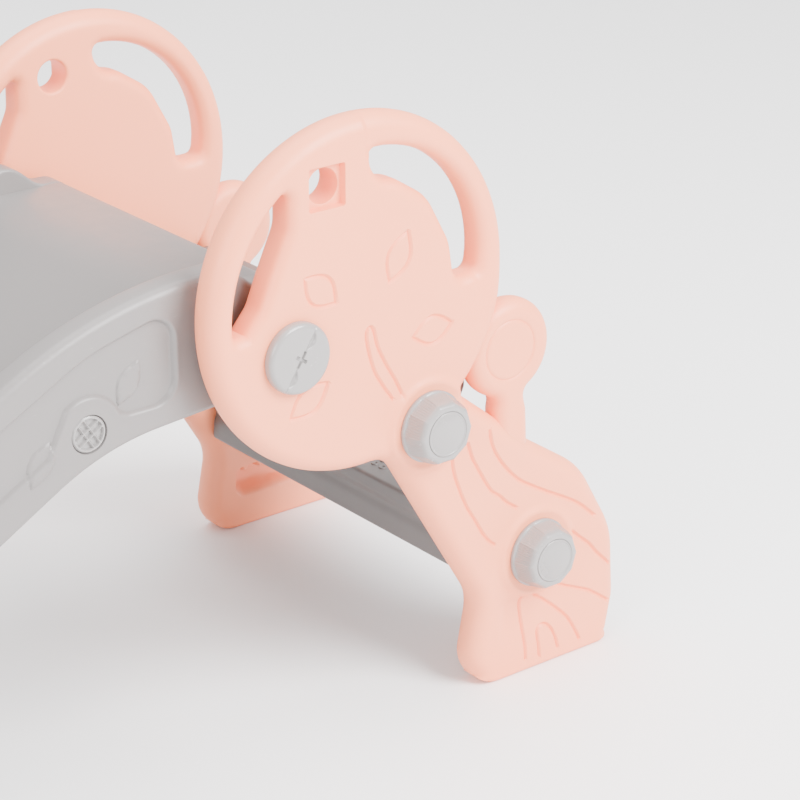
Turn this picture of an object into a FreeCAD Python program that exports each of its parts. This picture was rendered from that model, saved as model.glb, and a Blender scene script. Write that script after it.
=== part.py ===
import FreeCAD, Part

import math
import os

# Toddler slide: two blow-moulded side panels shaped like little trees carry two
# steps, held by fluted hand nuts, and a two-piece chute hung on two slotted bolts.
# Millimetres, +Z up. The chute runs down towards -X, the steps climb from +X.
# The origin is the middle of the footprint, on the floor.

V = FreeCAD.Vector
doc = FreeCAD.newDocument("ToddlerSlide")
sheet = doc.addObject("Spreadsheet::Sheet", "Dimensions")

DIMENSIONS = {
    # the whole slide
    "half_length": 610.0,
    "panel_middle": 227.5,
    "panel_thickness": 36.0,
    "panel_edge_round": 15.0,
    "window_edge_round": 11.5,
    "skin": 4.0,
    "cavity_inset": 10.0,
    "running_gap": 0.3,
    # tree crown, the round head of a panel
    "crown_x": 286.2,
    "crown_z": 447.0,
    "crown_radius": 169.0,
    "crown_to_trunk_left": 22.0,
    "crown_to_trunk_right": 8.0,
    "grip_window_x": 301.0,
    "grip_window_z": 463.0,
    "grip_window_radius": 122.0,
    "rear_window_radius": 140.0,
    "grip_window_corner": 10.0,
    "rear_window_corner": 6.0,
    # small leaf lobe beside the crown
    "lobe_x": 465.0,
    "lobe_z": 351.0,
    "lobe_radius": 50.0,
    "lobe_thickness": 30.0,
    "lobe_edge_round": 12.0,
    # accessory socket in the crown
    "socket_x": 244.5,
    "socket_z": 558.5,
    "socket_side": 40.0,
    "socket_depth": 7.0,
    "socket_bore": 16.5,
    "tube_wall": 4.0,
    # steps and their hand nuts
    "lower_step_x": 496.6,
    "lower_step_z": 131.9,
    "upper_step_x": 359.7,
    "upper_step_z": 303.0,
    "stud_radius": 11.0,
    "stud_length": 55.0,
    "step_skin": 3.0,
    "step_end_round": 6.0,
    "stud_root": 40.0,
    "boss_radius": 50.0,
    "boss_height": 2.0,
    "nut_base_radius": 36.0,
    "nut_base_thickness": 5.0,
    "nut_front_radius": 27.5,
    "nut_height": 26.0,
    "nut_shoulder": 3.0,
    "nut_flute_radius": 7.0,
    "nut_bore": 11.08,
    "nut_bore_depth": 20.0,
    "cap_radius": 22.0,
    "cap_recess": 22.3,
    "cap_depth": 2.0,
    "cap_proud": 0.6,
    "cap_groove_depth": 0.6,
    "cap_groove_outer": 20.4,
    "cap_groove_inner": 19.2,
    # chute
    "chute_half_width": 200.5,
    "chute_wall_width": 30.0,
    "chute_skin": 4.0,
    "split_x": -150.0,
    "lap_end_x": 45.0,
    "pivot_x": 207.0,
    "pivot_z": 409.0,
    "bolt_head_radius": 30.8,
    "bolt_head_height": 9.5,
    "bolt_head_flare": 3.0,
    "bolt_head_round": 4.5,
    "bolt_slot_width": 3.0,
    "bolt_slot_depth": 1.0,
    "bolt_shank": 14.0,
    "bolt_hole": 14.08,
    "bolt_length": 62.0,
    "insert_radius": 20.0,
    "insert_wall": 4.0,
    "screw_x": 19.0,
    "screw_z": 369.0,
    "screw_head_radius": 17.0,
    "screw_head_height": 5.0,
    "screw_recess_radius": 18.2,
    "screw_recess_depth": 5.4,
    "screw_cup_radius": 22.0,
    "screw_cup_depth": 9.0,
    "screw_flange_radius": 27.0,
    "screw_flange": 3.0,
    "screw_shank": 7.0,
    "screw_length": 21.0,
    "screw_spacing": 132.0,
    "screw_slot_width": 3.0,
    "screw_slot_depth": 2.4,
    "screw_slot_margin": 4.0,
    "screw_insert_wall": 5.0,
}
CHUTE_SLOPE = 0.576
NUT_FLUTES = 10
BOLT_SLOT_TILT = -57
SCREW_SLOT_TILTS = (33, 123)

for row, (alias, value) in enumerate(DIMENSIONS.items(), start=1):
    sheet.set(f"A{row}", alias.replace("_", " "))
    sheet.set(f"B{row}", str(value))
    sheet.setAlias(f"B{row}", alias)
doc.recompute()

D = {alias: float(sheet.get(alias)) for alias in DIMENSIONS}


# ---------------------------------------------------------------- helpers

def bind(thing, **formulas):
    """Tie properties of an object to cells of the sheet."""
    for name, formula in formulas.items():
        for alias in sorted(DIMENSIONS, key=len, reverse=True):
            formula = formula.replace(f"<{alias}>", f"Dimensions.{alias}")
        thing.setExpression(name, formula)
    return thing


def place(thing, x="0", y="0", z="0"):
    """Tie an object's position to the sheet; its turn is left alone."""
    return bind(thing, **{".Placement.Base.x": x, ".Placement.Base.y": y, ".Placement.Base.z": z})


def across(name, radius, length, x, y, z):
    """A cylinder lying along +Y, its near end at y."""
    rod = doc.addObject("Part::Cylinder", name)
    rod.Placement.Rotation = FreeCAD.Rotation(V(1, 0, 0), -90)
    bind(rod, Radius=radius, Height=length)
    return place(rod, x, y, z)


def cone_across(name, near_radius, far_radius, length, x, y, z):
    """A cone lying along +Y, its near end at y."""
    cone = doc.addObject("Part::Cone", name)
    cone.Placement.Rotation = FreeCAD.Rotation(V(1, 0, 0), -90)
    bind(cone, Radius1=near_radius, Radius2=far_radius, Height=length)
    return place(cone, x, y, z)


def block(name, size, low):
    """A box from its formulas for size and lowest corner."""
    box = doc.addObject("Part::Box", name)
    bind(box, Length=size[0], Width=size[1], Height=size[2])
    return place(box, *low)


def outline(name, corners):
    """A closed side-view sketch: straight runs joined by tangent arcs.

    Each corner is (x, z, radius); a radius of 0 leaves it sharp.
    """
    sketch = doc.addObject("Sketcher::SketchObject", name)
    sketch.Placement.Rotation = FreeCAD.Rotation(V(1, 0, 0), 90)
    starts, ends, arcs = [], [], []
    count = len(corners)
    for i, (x, z, radius) in enumerate(corners):
        here = V(x, z, 0)
        before = (V(*corners[i - 1][:2], 0) - here).normalize()
        after = (V(*corners[(i + 1) % count][:2], 0) - here).normalize()
        if radius:
            half = before.getAngle(after) / 2
            reach = radius / math.tan(half)
            middle = here + (before + after).normalize() * (radius / math.sin(half) - radius)
            arcs.append(Part.Arc(here + before * reach, middle, here + after * reach))
            ends.append(here + before * reach)
            starts.append(here + after * reach)
        else:
            ends.append(here)
            starts.append(here)
    for i in range(count):
        sketch.addGeometry(Part.LineSegment(starts[i], ends[(i + 1) % count]), False)
    for arc in arcs:
        sketch.addGeometry(arc, False)
    return sketch


def grown(name, sketch, amount):
    """The sketch's outline offset outwards by a formula; inwards if negative."""
    ring = doc.addObject("Part::Offset2D", name)
    ring.Source = sketch
    ring.Join = "Intersection"
    return bind(ring, Value=amount)


def slab(name, profile, width, y="0"):
    """A side-view outline extruded evenly to both sides of the plane at y."""
    solid = doc.addObject("Part::Extrusion", name)
    solid.Base = profile
    solid.DirMode = "Custom"
    solid.Dir = V(0, 1, 0)
    solid.Solid = True
    solid.Symmetric = True
    bind(solid, LengthFwd=width)
    return bind(solid, **{".Placement.Base.y": y})


def fuse(name, *shapes):
    whole = doc.addObject("Part::MultiFuse", name)
    whole.Shapes = list(shapes)
    whole.Refine = True
    return whole


def cut(name, base, *tools):
    piece = doc.addObject("Part::Cut", name)
    piece.Base = base
    piece.Tool = tools[0] if len(tools) == 1 else fuse(f"{name}_tools", *tools)
    piece.Refine = True
    return piece


def common(name, first, second):
    piece = doc.addObject("Part::Common", name)
    piece.Base, piece.Tool = first, second
    return piece


def rounded(name, base, radius, chosen):
    """Fillet the edges of base for which chosen(edge) is true."""
    doc.recompute()
    numbers = [i for i, edge in enumerate(base.Shape.Edges, start=1) if chosen(edge)]
    if not numbers:
        raise RuntimeError(f"{name}: no edge to round")
    fillet = doc.addObject("Part::Fillet", name)
    fillet.Base = base
    fillet.Edges = [(number, radius, radius) for number in numbers]
    doc.recompute()
    if fillet.Shape.isNull() or not fillet.Shape.isValid():
        raise RuntimeError(f"{name}: the fillet failed")
    return fillet


def mirrored(name, source):
    twin = doc.addObject("Part::Mirroring", name)
    twin.Source = source
    twin.Normal = V(0, 1, 0)
    return twin


def lies_at_y(*levels):
    """True for an edge that lies in one of the planes y = level."""
    def test(edge):
        box = edge.BoundBox
        return any(abs(box.YMin - y) < 1e-4 and abs(box.YMax - y) < 1e-4 for y in levels)
    return test


def runs_across(edge):
    box = edge.BoundBox
    return box.XLength < 1e-4 and box.ZLength < 1e-4 and box.YLength > 1


finished = []


def finish(name, thing):
    thing.Label = name
    finished.append(thing)
    return thing


# ---------------------------------------------------------------- side panels

TRUNK = outline("trunk_outline", [
    (340, 372, 0), (494, 250.5, 90), (563.5, 205.5, 90), (607, 125, 90), (610.2, 50, 45),
    (600, 0, 18), (412, 0, 38), (430, 95, 45), (305, 300, 0),
])
STALK = outline("stalk_outline", [
    (449, 340, 0), (449, 240, 0), (478, 215, 0), (491.5, 236, 0), (487.5, 300, 0), (485, 340, 0),
])
GRIP_WINDOW = outline("grip_window_outline", [
    (296, 640, 0), (297, 556, 18), (326, 550, 30), (362, 526, 50), (388, 478, 40),
    (393, 441, 14), (450, 441, 0), (470, 640, 0),
])
REAR_WINDOW = outline("rear_window_outline", [
    (118, 560, 0), (201, 560, 0), (203, 526, 24), (186, 486, 40), (174, 457, 30),
    (158, 438, 0), (118, 434, 0),
])
FOOT_RECESS = outline("foot_recess_outline", [
    (452, 40, 12), (452, 72, 12), (575, 72, 12), (575, 40, 12),
])


def tree_slab(name, inset, width):
    """Crown and trunk as one flat slab, its edges moved inwards by inset if there is one."""
    crown = across(f"{name}_crown", f"<crown_radius> - ({inset or 0})", width,
                   "<crown_x>", f"-({width}) / 2", "<crown_z>")
    edge = grown(f"{name}_trunk_edge", TRUNK, f"-({inset})") if inset else TRUNK
    trunk = slab(f"{name}_trunk", edge, width)
    return fuse(f"{name}_tree", crown, trunk)


def window(name, profile, radius, x, z, inset):
    """A hand window: the part of a round hole that its wavy edge leaves open, grown by inset."""
    disc = across(f"{name}_disc", f"{radius} + ({inset or 0})", "<panel_thickness> + 20",
                  x, "-<panel_thickness> / 2 - 10", z)
    side = grown(f"{name}_grown", profile, inset) if inset else profile
    return common(name, disc, slab(f"{name}_edge", side, "<panel_thickness> + 20"))


def windows(name, inset):
    grip = window(f"{name}_grip", GRIP_WINDOW, "<grip_window_radius>",
                  "<grip_window_x>", "<grip_window_z>", inset)
    rear = window(f"{name}_rear", REAR_WINDOW, "<rear_window_radius>",
                  "<crown_x>", "<crown_z>", inset)
    return grip, rear


def sharp_corner_on(x, z, radius):
    """True for an edge across the panel that stands on a circle of the side view."""
    def test(edge):
        if not runs_across(edge):
            return False
        point = edge.Vertexes[0].Point
        return abs(math.hypot(point.x - x, point.z - z) - radius) < 0.05
    return test


def inside_disc(point, name):
    """True for a point in the side view within the disc that bounds a hand window."""
    centre = "grip_window" if name == "grip_window" else "crown"
    away = math.hypot(point.x - D[f"{centre}_x"], point.z - D[f"{centre}_z"])
    return away < D[f"{name}_radius"] + 0.5


def panel_blank():
    """The outer form: rounded crown, trunk, hand windows, leaf lobe and stalk."""
    half = D["panel_thickness"] / 2
    on_face = lies_at_y(-half, half)
    flat = tree_slab("outer", None, "<panel_thickness>")
    on_crown = sharp_corner_on(D["crown_x"], D["crown_z"], D["crown_radius"])

    def left_junction(edge):
        point = edge.Vertexes[0].Point
        return on_crown(edge) and point.z < 400 and point.x < 360

    def right_junction(edge):
        point = edge.Vertexes[0].Point
        return on_crown(edge) and point.z < 400 and point.x > 360

    flat = rounded("junction_left", flat, D["crown_to_trunk_left"], left_junction)
    flat = rounded("junction_right", flat, D["crown_to_trunk_right"], right_junction)
    grip, rear = windows("hand", None)
    grip = rounded("grip_window", grip, D["grip_window_corner"],
                   sharp_corner_on(D["grip_window_x"], D["grip_window_z"], D["grip_window_radius"]))
    rear = rounded("rear_window", rear, D["rear_window_corner"],
                   sharp_corner_on(D["crown_x"], D["crown_z"], D["rear_window_radius"]))
    tree = rounded("tree_edges", flat, D["panel_edge_round"], on_face)
    tree = cut("pierced", tree, grip, rear)

    def window_edge(edge):
        middle = edge.valueAt((edge.FirstParameter + edge.LastParameter) / 2)
        return on_face(edge) and (inside_disc(middle, "grip_window") or inside_disc(middle, "rear_window"))

    tree = rounded("window_edges", tree, D["window_edge_round"], window_edge)

    half_lobe = D["lobe_thickness"] / 2
    lobe = across("lobe_disc", "<lobe_radius>", "<lobe_thickness>",
                  "<lobe_x>", "-<lobe_thickness> / 2", "<lobe_z>")
    leaf = fuse("leaf_flat", lobe, slab("stalk", STALK, "<lobe_thickness>"))
    leaf = rounded("leaf", leaf, D["lobe_edge_round"], lies_at_y(-half_lobe, half_lobe))
    return fuse("panel_blank", tree, leaf)


def panel_bosses():
    """Soft raised rings that the two hand nuts pull against, on the outer face."""
    bosses = []
    for step in ("lower_step", "upper_step"):
        bosses.append(cone_across(f"{step}_boss", "<boss_radius> - 3", "<boss_radius>",
                                  "<boss_height> + 1", f"<{step}_x>",
                                  "-<panel_thickness> / 2 - <boss_height>", f"<{step}_z>"))
    return bosses


def panel_cavity():
    """The sealed hollow inside the moulding, with tubes left round every hole."""
    width = "<panel_thickness> - 2 * <skin>"
    hollow = tree_slab("inner", "<cavity_inset>", width)
    grip, rear = windows("inner", "<cavity_inset>")
    lobe = across("lobe_hollow", "<lobe_radius> - <cavity_inset>", "<lobe_thickness> - 2 * <skin>",
                  "<lobe_x>", "-<lobe_thickness> / 2 + <skin>", "<lobe_z>")
    tubes = [
        across(f"{name}_tube", f"{radius} + <tube_wall>", "<panel_thickness>", f"<{spot}_x>",
               "-<panel_thickness> / 2", f"<{spot}_z>")
        for name, radius, spot in (
            ("lower_stud", "<stud_radius>", "lower_step"), ("upper_stud", "<stud_radius>", "upper_step"),
            ("pivot", "<bolt_shank>", "pivot"), ("socket", "<socket_bore>", "socket"))
    ]
    well = block("socket_well", ["<socket_side> + 2 * <tube_wall>", "<socket_depth> + <tube_wall>",
                                 "<socket_side> + 2 * <tube_wall>"],
                 ["<socket_x> - <socket_side> / 2 - <tube_wall>", "-<panel_thickness> / 2",
                  "<socket_z> - <socket_side> / 2 - <tube_wall>"])
    shelf = slab("recess_shelf", grown("recess_shelf_edge", FOOT_RECESS, "<tube_wall>"),
                 "2 * (<socket_depth> + <tube_wall>)", "<panel_thickness> / 2")
    return cut("panel_hollow", fuse("hollow_all", hollow, lobe), grip, rear, *tubes, well, shelf)


def side_panel():
    """The left panel, built about its own middle plane with its show face towards -Y."""
    reach = "<panel_thickness> + 20"
    start = "-<panel_thickness> / 2 - 10"
    holes = [
        across(f"{name}_hole", radius, reach, f"<{spot}_x>", start, f"<{spot}_z>")
        for name, radius, spot in (
            ("lower_stud", "<stud_radius> + <running_gap>", "lower_step"),
            ("upper_stud", "<stud_radius> + <running_gap>", "upper_step"),
            ("pivot", "<bolt_hole>", "pivot"), ("socket", "<socket_bore>", "socket"))
    ]
    recess = block("socket_recess", ["<socket_side>", "<socket_depth> + 5", "<socket_side>"],
                   ["<socket_x> - <socket_side> / 2", "-<panel_thickness> / 2 - 5",
                    "<socket_z> - <socket_side> / 2"])
    foot_recess = slab("foot_recess", FOOT_RECESS, "2 * <socket_depth>", "<panel_thickness> / 2")
    whole = fuse("panel_solid", panel_blank(), *panel_bosses())
    return cut("panel", whole, *holes, recess, foot_recess, panel_cavity())


# ---------------------------------------------------------------- steps

STEP_CORNERS = [
    (-73.6, 28, 8), (-70, 40, 6), (70, 40, 10), (76, 10, 12), (66, -12, 12), (-75, -13, 8),
]


def step_board(name, spot):
    """One hollow tread board with a threaded stud at each end, about its stud axis.

    The studs pass through both side panels and take the hand nuts.
    """
    half = D["panel_middle"] - D["panel_thickness"] / 2 - D["running_gap"]
    width = "2 * (<panel_middle> - <panel_thickness> / 2 - <running_gap>)"
    board = slab(f"{name}_board", outline(f"{name}_outline", STEP_CORNERS), width)
    board = rounded(f"{name}_ends", board, D["step_end_round"], lies_at_y(-half, half))
    inside = grown(f"{name}_inside", outline(f"{name}_inner", STEP_CORNERS), "-<step_skin>")
    hollow = slab(f"{name}_hollow", inside, f"{width} - 2 * (<step_skin> + 2)")
    solid_ends = [
        across(f"{name}_post_{side}", "<stud_radius> + 4", "<stud_root>", "0", start, "0")
        for side, start in (("left", f"-({width}) / 2"), ("right", f"({width}) / 2 - <stud_root>"))
    ]
    board = cut(f"{name}_shell", board, cut(f"{name}_void", hollow, *solid_ends))
    stud = across(f"{name}_stud", "<stud_radius>", f"{width} + 2 * <stud_length>",
                  "0", f"-({width}) / 2 - <stud_length>", "0")
    middle = across(f"{name}_stud_gap", "<stud_radius> + 1", f"{width} - 2 * <stud_root>",
                    "0", f"-({width}) / 2 + <stud_root>", "0")
    whole = fuse(f"{name}_whole", board, cut(f"{name}_studs", stud, middle))
    moved = doc.addObject("Part::Compound", f"{name}_in_place")
    moved.Links = [whole]
    return place(moved, f"<{spot}_x>", "0", f"<{spot}_z>")


# ---------------------------------------------------------------- hand nuts and caps

def hand_nut(name, spot):
    """A fluted nut with a blind threaded hole, standing out towards -Y."""
    base = across(f"{name}_base", "<nut_base_radius>", "<nut_base_thickness>",
                  "0", "-<nut_base_thickness>", "0")
    grip = cone_across(f"{name}_grip", "<nut_front_radius>", "<nut_base_radius> - 1",
                       "<nut_height>", "0", "-<nut_height>", "0")
    grip = rounded(f"{name}_shoulder", grip, D["nut_shoulder"], lies_at_y(-D["nut_height"]))
    flutes = []
    for i in range(NUT_FLUTES):
        turn = 2 * math.pi * (i + 0.5) / NUT_FLUTES
        flutes.append(across(
            f"{name}_flute_{i}", "<nut_flute_radius>", "<nut_height> - <nut_base_thickness> + 2",
            f"(<nut_base_radius> + 3) * {math.cos(turn):.6f}", "-<nut_height> - 2",
            f"(<nut_base_radius> + 3) * {math.sin(turn):.6f}"))
    bore = across(f"{name}_bore", "<nut_bore>", "<nut_bore_depth> + 1", "0", "-<nut_bore_depth>", "0")
    recess = across(f"{name}_recess", "<cap_recess>", "<cap_depth> + 1",
                    "0", "-<nut_height> - 1", "0")
    grip = cut(f"{name}_fluted", grip, *flutes)
    nut = cut(f"{name}_whole", fuse(f"{name}_solid", base, grip), bore, recess)
    moved = doc.addObject("Part::Compound", f"{name}_in_place")
    moved.Links = [nut]
    return place(moved, f"<{spot}_x>",
                 "-<panel_middle> - <panel_thickness> / 2 - <boss_height> - <running_gap>",
                 f"<{spot}_z>")


def nut_cap(name, spot):
    """The disc that closes the front of a nut, with a shallow groove near its rim."""
    front = ("(-<panel_middle> - <panel_thickness> / 2 - <boss_height> - <running_gap>"
             " - <nut_height> - <cap_proud>)")
    disc = across(f"{name}_disc", "<cap_radius>", "<cap_depth> + <cap_proud>",
                  f"<{spot}_x>", front, f"<{spot}_z>")
    outer, inner = (
        across(f"{name}_groove_{side}", f"<cap_groove_{side}>", "1 + <cap_groove_depth>",
               f"<{spot}_x>", f"{front} - 1", f"<{spot}_z>")
        for side in ("outer", "inner"))
    return cut(f"{name}_whole", disc, cut(f"{name}_groove", outer, inner))


# ---------------------------------------------------------------- pivot bolts and inserts

def pivot_bolt(name):
    """A hand bolt with a domed slotted head; its shank is the chute's pivot."""
    face = "(-<panel_middle> - <panel_thickness> / 2 - <running_gap>)"
    head = cone_across(f"{name}_head", "<bolt_head_radius>", "<bolt_head_radius> + <bolt_head_flare>",
                       "<bolt_head_height>", "<pivot_x>", f"{face} - <bolt_head_height>", "<pivot_z>")
    front = -D["panel_middle"] - D["panel_thickness"] / 2 - D["running_gap"] - D["bolt_head_height"]
    head = rounded(f"{name}_dome", head, D["bolt_head_round"], lies_at_y(front))
    shank = across(f"{name}_shank", "<bolt_shank>", "<bolt_length> + 1", "<pivot_x>",
                   f"{face} - 1", "<pivot_z>")
    slot = doc.addObject("Part::Box", f"{name}_slot")
    bind(slot, Length="2 * (<bolt_head_radius> + 5)", Width="<bolt_slot_depth> + 1",
         Height="<bolt_slot_width>")
    slot.Placement = FreeCAD.Placement(
        V(D["pivot_x"], front - 1, D["pivot_z"]), FreeCAD.Rotation(V(0, 1, 0), BOLT_SLOT_TILT),
    ) * FreeCAD.Placement(
        V(-D["bolt_head_radius"] - 5, 0, -D["bolt_slot_width"] / 2), FreeCAD.Rotation())
    return cut(f"{name}_whole", fuse(f"{name}_solid", head, shank), slot)


# how far the round seat of a pivot insert stands out of the chute wall, to meet the panel
SEAT = "(<panel_middle> - <panel_thickness> / 2 - <running_gap> - <chute_half_width>)"
INSERT_LENGTH = f"({SEAT} + <chute_wall_width> - 6)"


def pivot_insert(name):
    """The threaded socket moulded into a chute wall for a pivot bolt."""
    start = f"-<chute_half_width> - {SEAT}"
    body = across(f"{name}_body", "<insert_radius>", INSERT_LENGTH, "<pivot_x>", start, "<pivot_z>")
    bore = across(f"{name}_bore", "<bolt_hole>", f"{INSERT_LENGTH} + 2", "<pivot_x>",
                  f"{start} - 1", "<pivot_z>")
    return cut(f"{name}_whole", body, bore)


# ---------------------------------------------------------------- chute

def on_slope(x, z_at_zero):
    return z_at_zero + CHUTE_SLOPE * x


RIM_Z0 = 464.5
BED_Z0 = 376.6
BELLY_Z0 = 329.5
FOOT = -D["half_length"]

RIM_TOP = 487.5
CHUTE_SIDE = [
    (236, 366, 30), (236, 463, 18), (200, 464, 30), (172, RIM_TOP, 30),
    ((RIM_TOP - RIM_Z0) / CHUTE_SLOPE, RIM_TOP, 430), (-515, on_slope(-515, RIM_Z0), 150),
    (FOOT, 146, 55), (FOOT, 0, 14), (-556, 0, 14),
    (-540, 34, 20), (-500, on_slope(-500, BELLY_Z0), 30), (35, on_slope(35, BELLY_Z0), 250),
]
SKIN_DROP = 4.6
CHUTE_VOID = [
    (232, 300, 0), (232, 459, 14), (198.5, 460, 34), (170.5, RIM_TOP - 4, 26),
    ((RIM_TOP - 4 + SKIN_DROP - RIM_Z0) / CHUTE_SLOPE, RIM_TOP - 4, 426),
    (-515, on_slope(-515, RIM_Z0) - SKIN_DROP, 146), (FOOT + 4, 142, 51), (FOOT + 4, -60, 0),
]
CHANNEL = [
    (280, 463, 0), (150, 463, 120), (-505, on_slope(-505, BED_Z0), 220), (-680, 76, 0),
    (-680, 700, 0), (280, 700, 0),
]


def chute_shell(name, inset):
    """An open-bottomed shell with a channel between double walls.

    A lap shell is the same shape with its show faces moved inwards by inset.
    """
    side = outline(f"{name}_side", CHUTE_SIDE)
    void = outline(f"{name}_void_side", CHUTE_VOID)
    channel = outline(f"{name}_channel_side", CHANNEL)
    bed = grown(f"{name}_channel_skin", outline(f"{name}_bed_side", CHANNEL),
                f"{inset or 0} + <chute_skin>")
    if inset:
        side = grown(f"{name}_side_in", side, f"-({inset})")
        void = grown(f"{name}_void_in", void, f"-({inset})")
        channel = grown(f"{name}_channel_out", channel, inset)
    full = f"2 * (<chute_half_width> - ({inset or 0}))"
    inner = f"2 * (<chute_half_width> - <chute_wall_width> + {inset or 0})"
    outer = slab(f"{name}_outer", side, full)
    groove = slab(f"{name}_groove", channel, inner)
    hollow = slab(f"{name}_hollow", void, f"{full} - 2 * <chute_skin>")
    under = slab(f"{name}_under", bed, f"{inner} + 2 * <chute_skin>")
    open_under = cut(f"{name}_open_under", hollow, under)
    return cut(f"{name}_shell", outer, groove, open_under)


def beyond(name, low_x, high_x):
    """A box across the whole slide from low_x to high_x."""
    return block(name, [f"{high_x} - ({low_x})", "600", "900"], [low_x, "-300", "-100"])


def screw_spots():
    """The four chute screws: formulas for x and z, and the side, -1 left or +1 right."""
    for order, shift in (("upper", "0"), ("lower", "<screw_spacing>")):
        for side, sign in (("left", -1), ("right", 1)):
            yield (f"{order}_{side}", f"<screw_x> - {shift}",
                   f"<screw_z> - {shift} * {CHUTE_SLOPE}", sign)


def facing(name, radius, length, x, z, sign, depth):
    """A cylinder that starts at a depth below a chute wall's outer face and runs inwards."""
    start = (f"-<chute_half_width> + {depth}" if sign < 0
             else f"<chute_half_width> - ({depth}) - ({length})")
    return across(name, radius, length, x, start, z)


def chute_sections():
    full = chute_shell("full", None)
    lap = chute_shell("lap", "<chute_skin> + <running_gap>")
    collar = chute_shell("collar", "<chute_skin> - 1")
    posts, cups, clearances, seats = [], [], [], []
    for side, sign in (("left", -1), ("right", 1)):
        posts.append(facing(f"pivot_post_{side}", "<insert_radius> + <insert_wall>",
                            f"{SEAT} + <chute_wall_width>", "<pivot_x>", "<pivot_z>", sign,
                            f"-{SEAT}"))
        seats.append(facing(f"pivot_seat_{side}", "<insert_radius>", INSERT_LENGTH,
                            "<pivot_x>", "<pivot_z>", sign, f"-{SEAT}"))
        seats.append(facing(f"pivot_room_{side}", "<bolt_hole>", "<chute_wall_width> - 3",
                            "<pivot_x>", "<pivot_z>", sign, "0"))
    for spot, x, z, sign in screw_spots():
        cups.append(facing(f"screw_cup_{spot}", "<screw_cup_radius>", "<screw_cup_depth>",
                           x, z, sign, "0"))
        seats.append(facing(f"screw_seat_{spot}", "<screw_recess_radius>", "<screw_recess_depth> + 1",
                            x, z, sign, "-1"))
        seats.append(facing(f"screw_hole_{spot}", "<screw_shank> + 0.1", "<screw_length>",
                            x, z, sign, "-1"))
        clearances.append(facing(f"cup_room_{spot}", "<screw_cup_radius> + 0.6",
                                 "<screw_cup_depth> + 4", x, z, sign, "-1"))
    upper = fuse("upper_chute_posts", full, *posts, *cups)
    upper = cut("upper_chute_whole", upper, beyond("cut_below_split", "-700", "<split_x>"), *seats)
    lower_main = cut("lower_chute_main", full,
                     beyond("cut_above_split", "<split_x> - <running_gap>", "400"))
    root = common("lower_chute_root", collar,
                  beyond("root_span", "<split_x> - 30", "<split_x> - <running_gap>"))
    tongue = common("lower_chute_tongue", lap, beyond("tongue_span", "<split_x> - 30", "<lap_end_x>"))
    lower = cut("lower_chute_whole", fuse("lower_chute_joined", lower_main, root, tongue),
                *clearances)
    return upper, lower


def chute_screw(name, x, z, sign):
    """A cross-slotted hand screw that holds the two chute sections together."""
    depth = "<screw_recess_depth> - <screw_head_height> - 0.1"
    head = facing(f"{name}_head", "<screw_head_radius>", "<screw_head_height>", x, z, sign, depth)
    shank = facing(f"{name}_shank", "<screw_shank>", "<screw_length> - 4", x, z, sign, "4")
    screw = fuse(f"{name}_solid", head, shank)
    doc.recompute()
    centre = head.Shape.BoundBox.Center
    face = D["chute_half_width"] - (D["screw_recess_depth"] - D["screw_head_height"] - 0.1)
    middle = V(centre.x, sign * face - D["screw_slot_depth"] / 2, centre.z)
    half = D["screw_head_radius"] - D["screw_slot_margin"]
    bars = []
    for tilt in SCREW_SLOT_TILTS:
        bar = doc.addObject("Part::Box", f"{name}_bar_{tilt}")
        bind(bar, Length="2 * (<screw_head_radius> - <screw_slot_margin>)",
             Width="<screw_slot_depth>", Height="<screw_slot_width>")
        bar.Placement = FreeCAD.Placement(middle, FreeCAD.Rotation(V(0, 1, 0), -tilt)) * \
            FreeCAD.Placement(V(-half, 0, -D["screw_slot_width"] / 2), FreeCAD.Rotation())
        bars.append(bar)
    return cut(f"{name}_whole", screw, *bars)


def screw_insert(name, x, z, sign):
    """A flanged, threaded socket that a chute screw pulls up against the lap from inside."""
    depth = "<screw_cup_depth> + 0.1"
    flange = facing(f"{name}_flange", "<screw_flange_radius>", "<screw_flange>", x, z, sign, depth)
    body = facing(f"{name}_body", "<screw_shank> + <screw_insert_wall>",
                  "<screw_length> - <screw_cup_depth>", x, z, sign, depth)
    bore = facing(f"{name}_bore", "<screw_shank> + 0.1", "<screw_length>", x, z, sign, f"{depth} - 1")
    return cut(f"{name}_whole", fuse(f"{name}_solid", flange, body), bore)


# ---------------------------------------------------------------- assembly

panel = side_panel()
doc.recompute()
left_panel = doc.addObject("Part::Compound", "panel_at_left")
left_panel.Links = [panel]
place(left_panel, y="-<panel_middle>")
finish("side_panel_left", left_panel)
finish("side_panel_right", mirrored("panel_mirrored", left_panel))

finish("lower_step", step_board("lower_step", "lower_step"))
finish("upper_step", step_board("upper_step", "upper_step"))

for spot in ("lower_step", "upper_step"):
    height = spot.split("_")[0]
    nut = finish(f"{height}_nut_left", hand_nut(f"{height}_nut", spot))
    finish(f"{height}_nut_right", mirrored(f"{height}_nut_mirrored", nut))
    cap = finish(f"{height}_nut_cap_left", nut_cap(f"{height}_nut_cap", spot))
    finish(f"{height}_nut_cap_right", mirrored(f"{height}_nut_cap_mirrored", cap))

upper_chute, lower_chute = chute_sections()
finish("upper_chute", upper_chute)
finish("lower_chute", lower_chute)
bolt = finish("pivot_bolt_left", pivot_bolt("pivot_bolt"))
finish("pivot_bolt_right", mirrored("pivot_bolt_mirrored", bolt))
insert = finish("pivot_insert_left", pivot_insert("pivot_insert"))
finish("pivot_insert_right", mirrored("pivot_insert_mirrored", insert))
for spot, x, z, sign in screw_spots():
    finish(f"chute_screw_{spot}", chute_screw(f"chute_screw_{spot}", x, z, sign))
inserts = [screw_insert(f"screw_insert_{spot}", x, z, sign) for spot, x, z, sign in screw_spots()]
insert_group = doc.addObject("Part::Compound", "screw_insert_group")
insert_group.Links = inserts
finish("screw_inserts", insert_group)

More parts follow.
